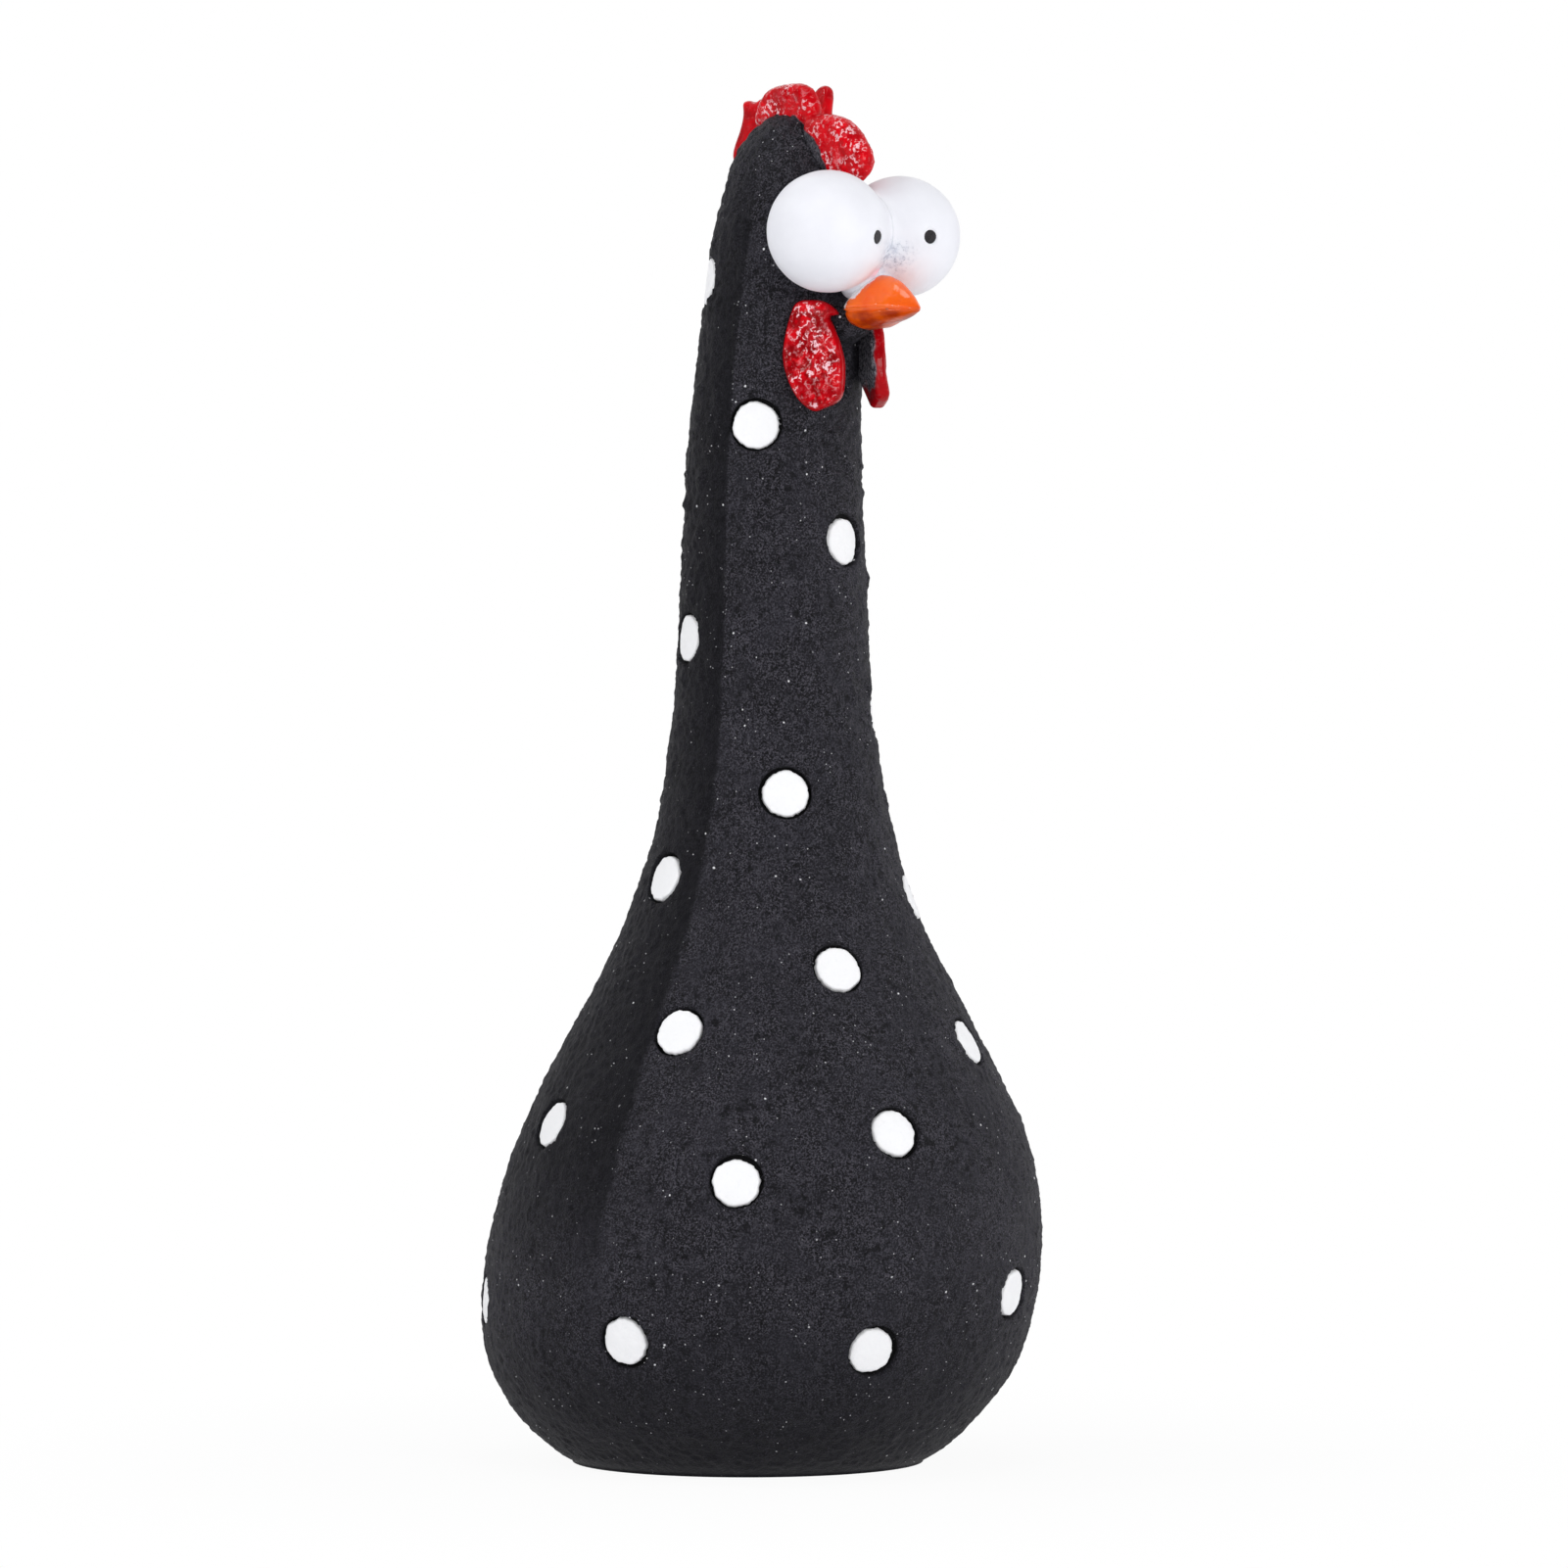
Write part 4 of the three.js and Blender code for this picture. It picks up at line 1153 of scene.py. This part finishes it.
def orange_enamel():
    """Glossy orange, with painted shade in darker brown on the duller lower half, and a white root.
    """
    paint = Paint("orange_enamel", Specular_IOR_Level=0.1, Coat_Roughness=0.05, Coat_IOR=1.5)
    broad, lower = paint.noise(3.2, 3), paint.mask("lower")
    specks = paint.span(paint.noise(1.1, 3, 0.7), 0.63, 0.67)
    paint.ground(broad, (0.96, 0.11, 0.001), (1, 0.16, 0.002))
    # Painted shade: the lower half darker brown, in patches
    paint.lay((0.36, 0.026, 0.0002), lower, paint.span(paint.noise(2.4, 3), 0.34, 0.6, 0.5, 1))
    paint.lay((0.1, 0.02, 0.006), paint.mask("gape"), specks)
    paint.lay((0.93, 0.93, 0.955), paint.mask("white"))
    paint.emboss(broad, 0.35)
    paint.emboss(paint.noise(0.9), 0.04)
    paint.dress(Coat_Normal=paint.normal, Coat_Weight=paint.span(lower, 0, 1, 1, 0.12))
    return paint.finish(broad, 0.25, 0.4)


def base_resin():
    paint = Paint("base_resin", Specular_IOR_Level=0.35)
    fine = paint.noise(0.5, 3)
    paint.ground(paint.noise(6, 4), (0.022, 0.022, 0.024), (0.036, 0.035, 0.036))
    paint.lay((0.09, 0.088, 0.088), paint.span(fine, 0.6, 0.75, 0, 0.5))
    paint.emboss(fine, 0.15)
    return paint.finish(fine, 0.6, 0.85)


# Pieces

def put(piece, node, material):
    piece.data.materials.append(material)
    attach(piece, "root")
    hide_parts(node)


dots, eyes, pupils, red = dot_enamel(), eye_enamel(), pupil_enamel(), red_enamel()

put(body_skin(), "body_casting", black_sand())
put(base_plate(), "base_disc", base_resin())
put(comb_paint(), "comb", red)
put(bridge_paint(), "face_bridge", eyes)
put(beak_paint(), "beak", orange_enamel())
for name in HANDS:
    put(eye_ball(name), f"eye_{name}", eyes)
    put(pupil_paint(name), f"pupil_{name}", pupils)
    put(wattle_paint(name), f"wattle_{name}", red)
for order, (dot, *frame) in enumerate(dot_frames(), 1):
    put(dot_paint(dot, *frame, order), dot, dots)


# Floor, backdrop, light and camera, in metres, with azimuths in degrees from the front

FLOOR_SIZE = 6
FLOOR_COLOUR = (0.96, 0.96, 0.97)
# Between these distances the floor turns into the white backdrop, from one share to the other
WHITE_START, WHITE_END = 0.04, 0.15
WHITE_SHARES = (0.94, 1)
ROOM_COLOUR = (0.97, 0.98, 1)
ROOM_LEVEL = 0.48
FRONT_LEVEL = 0.2
SWEEP_AZIMUTH = -50

# Lamps: azimuth, elevation, width, height, and how bright each alone makes white paint
LAMP_DISTANCE = 0.9
LAMP_AIM = Vector((0, 0, 0.11))
LAMPS = {
    "key": (-10, 12, 0.24, 0.24, 0.24),
    "left": (-86, 6, 0.12, 0.14, 0.13),
    "far_left": (-132, 48, 0.1, 0.1, 0.1),
    "high_left": (-108, 42, 0.09, 0.09, 0.06),
    "top": (-40, 75, 0.3, 0.3, 0.12),
    "right": (50, 2, 0.3, 0.4, 0.16),
    "low": (-35, -3, 0.6, 0.1, 0.07),
    "back": (160, 45, 0.25, 0.1, 0.04),
}

# Camera: focal length in pixels of the photo's width, level, seen from the front right
PHOTO_WIDTH = 1601
FOCAL_PIXELS = 7003
SENSOR_WIDTH = 36
CAMERA_PLACE = (-0.6809, -0.7350, 0.09893)
CAMERA_AZIMUTH = -43
CAMERA_REACH = 20


def seen_rays(nodes):
    """1 for rays that show the backdrop: straight to the camera, by gloss or through glass."""
    path = nodes.node("LightPath").outputs
    glossy = nodes.math("MAXIMUM", path["Is Camera Ray"], path["Is Glossy Ray"])
    return nodes.math("MAXIMUM", glossy, path["Is Transmission Ray"])


def floor():
    """A pale floor that turns into the white backdrop away from the statue and keeps its shadow."""
    bpy.ops.mesh.primitive_plane_add(size=FLOOR_SIZE, location=(0, 0, 0))
    plane = bpy.context.object
    plane.name = "floor"
    paint = Paint("pale_floor", Base_Color=FLOOR_COLOUR, Roughness=0.9, Specular_IOR_Level=0.1)
    length = paint.node("VectorMath", {0: paint.place}, operation="LENGTH").outputs["Value"]
    turn = (WHITE_START, WHITE_END, *WHITE_SHARES)
    away = paint.span(length, *turn, interpolation_type="SMOOTHSTEP")
    white = paint.node("Emission").outputs[0]
    share = paint.times(away, seen_rays(paint))
    surface = paint.mixed_shader(share, paint.shader.outputs[0], white)
    paint.feed(surface, paint.tree.nodes["Material Output"].inputs["Surface"])
    plane.data.materials.append(paint.material)


def world():
    """A white sweep behind the statue, as the photograph has it, and a dimmer room in front."""
    made = bpy.data.worlds.new("studio")
    bpy.context.scene.world = made
    made.use_nodes = True
    nodes = Nodes(made.node_tree)
    room = nodes.tree.nodes["Background"]
    nodes.feed(ROOM_COLOUR, room.inputs["Color"])
    nodes.feed(ROOM_LEVEL, room.inputs["Strength"])
    turn = math.radians(SWEEP_AZIMUTH)
    way = nodes.node("TexCoord").outputs["Generated"]
    both = {0: way, 1: (-math.sin(turn), math.cos(turn), 0)}
    behind = nodes.node("VectorMath", both, operation="DOT_PRODUCT").outputs["Value"]
    sweep = nodes.span(behind, -0.5, 0.5, FRONT_LEVEL, 1, interpolation_type="SMOOTHSTEP")
    straight = nodes.node("LightPath").outputs["Is Camera Ray"]
    white = {"Color": (1, 1, 1), "Strength": nodes.math("MAXIMUM", straight, sweep)}
    backdrop = nodes.node("Background", white).outputs[0]
    surface = nodes.mixed_shader(seen_rays(nodes), room.outputs[0], backdrop)
    nodes.feed(surface, nodes.tree.nodes["World Output"].inputs["Surface"])


def soft_box(name, azimuth, elevation, width, height, level):
    """A rectangular lamp that faces the statue's middle."""
    turn, climb = math.radians(azimuth), math.radians(elevation)
    flat = math.cos(climb)
    away = Vector((math.sin(turn) * flat, -math.cos(turn) * flat, math.sin(climb)))
    lamp = bpy.data.lights.new(name, "AREA")
    lamp.shape = "RECTANGLE"
    lamp.size, lamp.size_y = width, height
    lamp.energy = level * (math.pi * LAMP_DISTANCE) ** 2
    made = add(name, lamp)
    made.location = LAMP_AIM + away * LAMP_DISTANCE
    made.rotation_euler = away.to_track_quat("Z", "Y").to_euler()


def camera():
    made = bpy.data.cameras.new("camera")
    made.sensor_width = SENSOR_WIDTH
    made.lens = SENSOR_WIDTH * FOCAL_PIXELS / PHOTO_WIDTH
    made.clip_end = CAMERA_REACH
    placed = add("camera", made)
    placed.location = CAMERA_PLACE
    placed.rotation_euler = (math.radians(90), 0, math.radians(CAMERA_AZIMUTH))
    bpy.context.scene.camera = placed


floor()
world()
for name, values in LAMPS.items():
    soft_box(name, *values)
camera()
bpy.context.scene.view_settings.view_transform = "Standard"
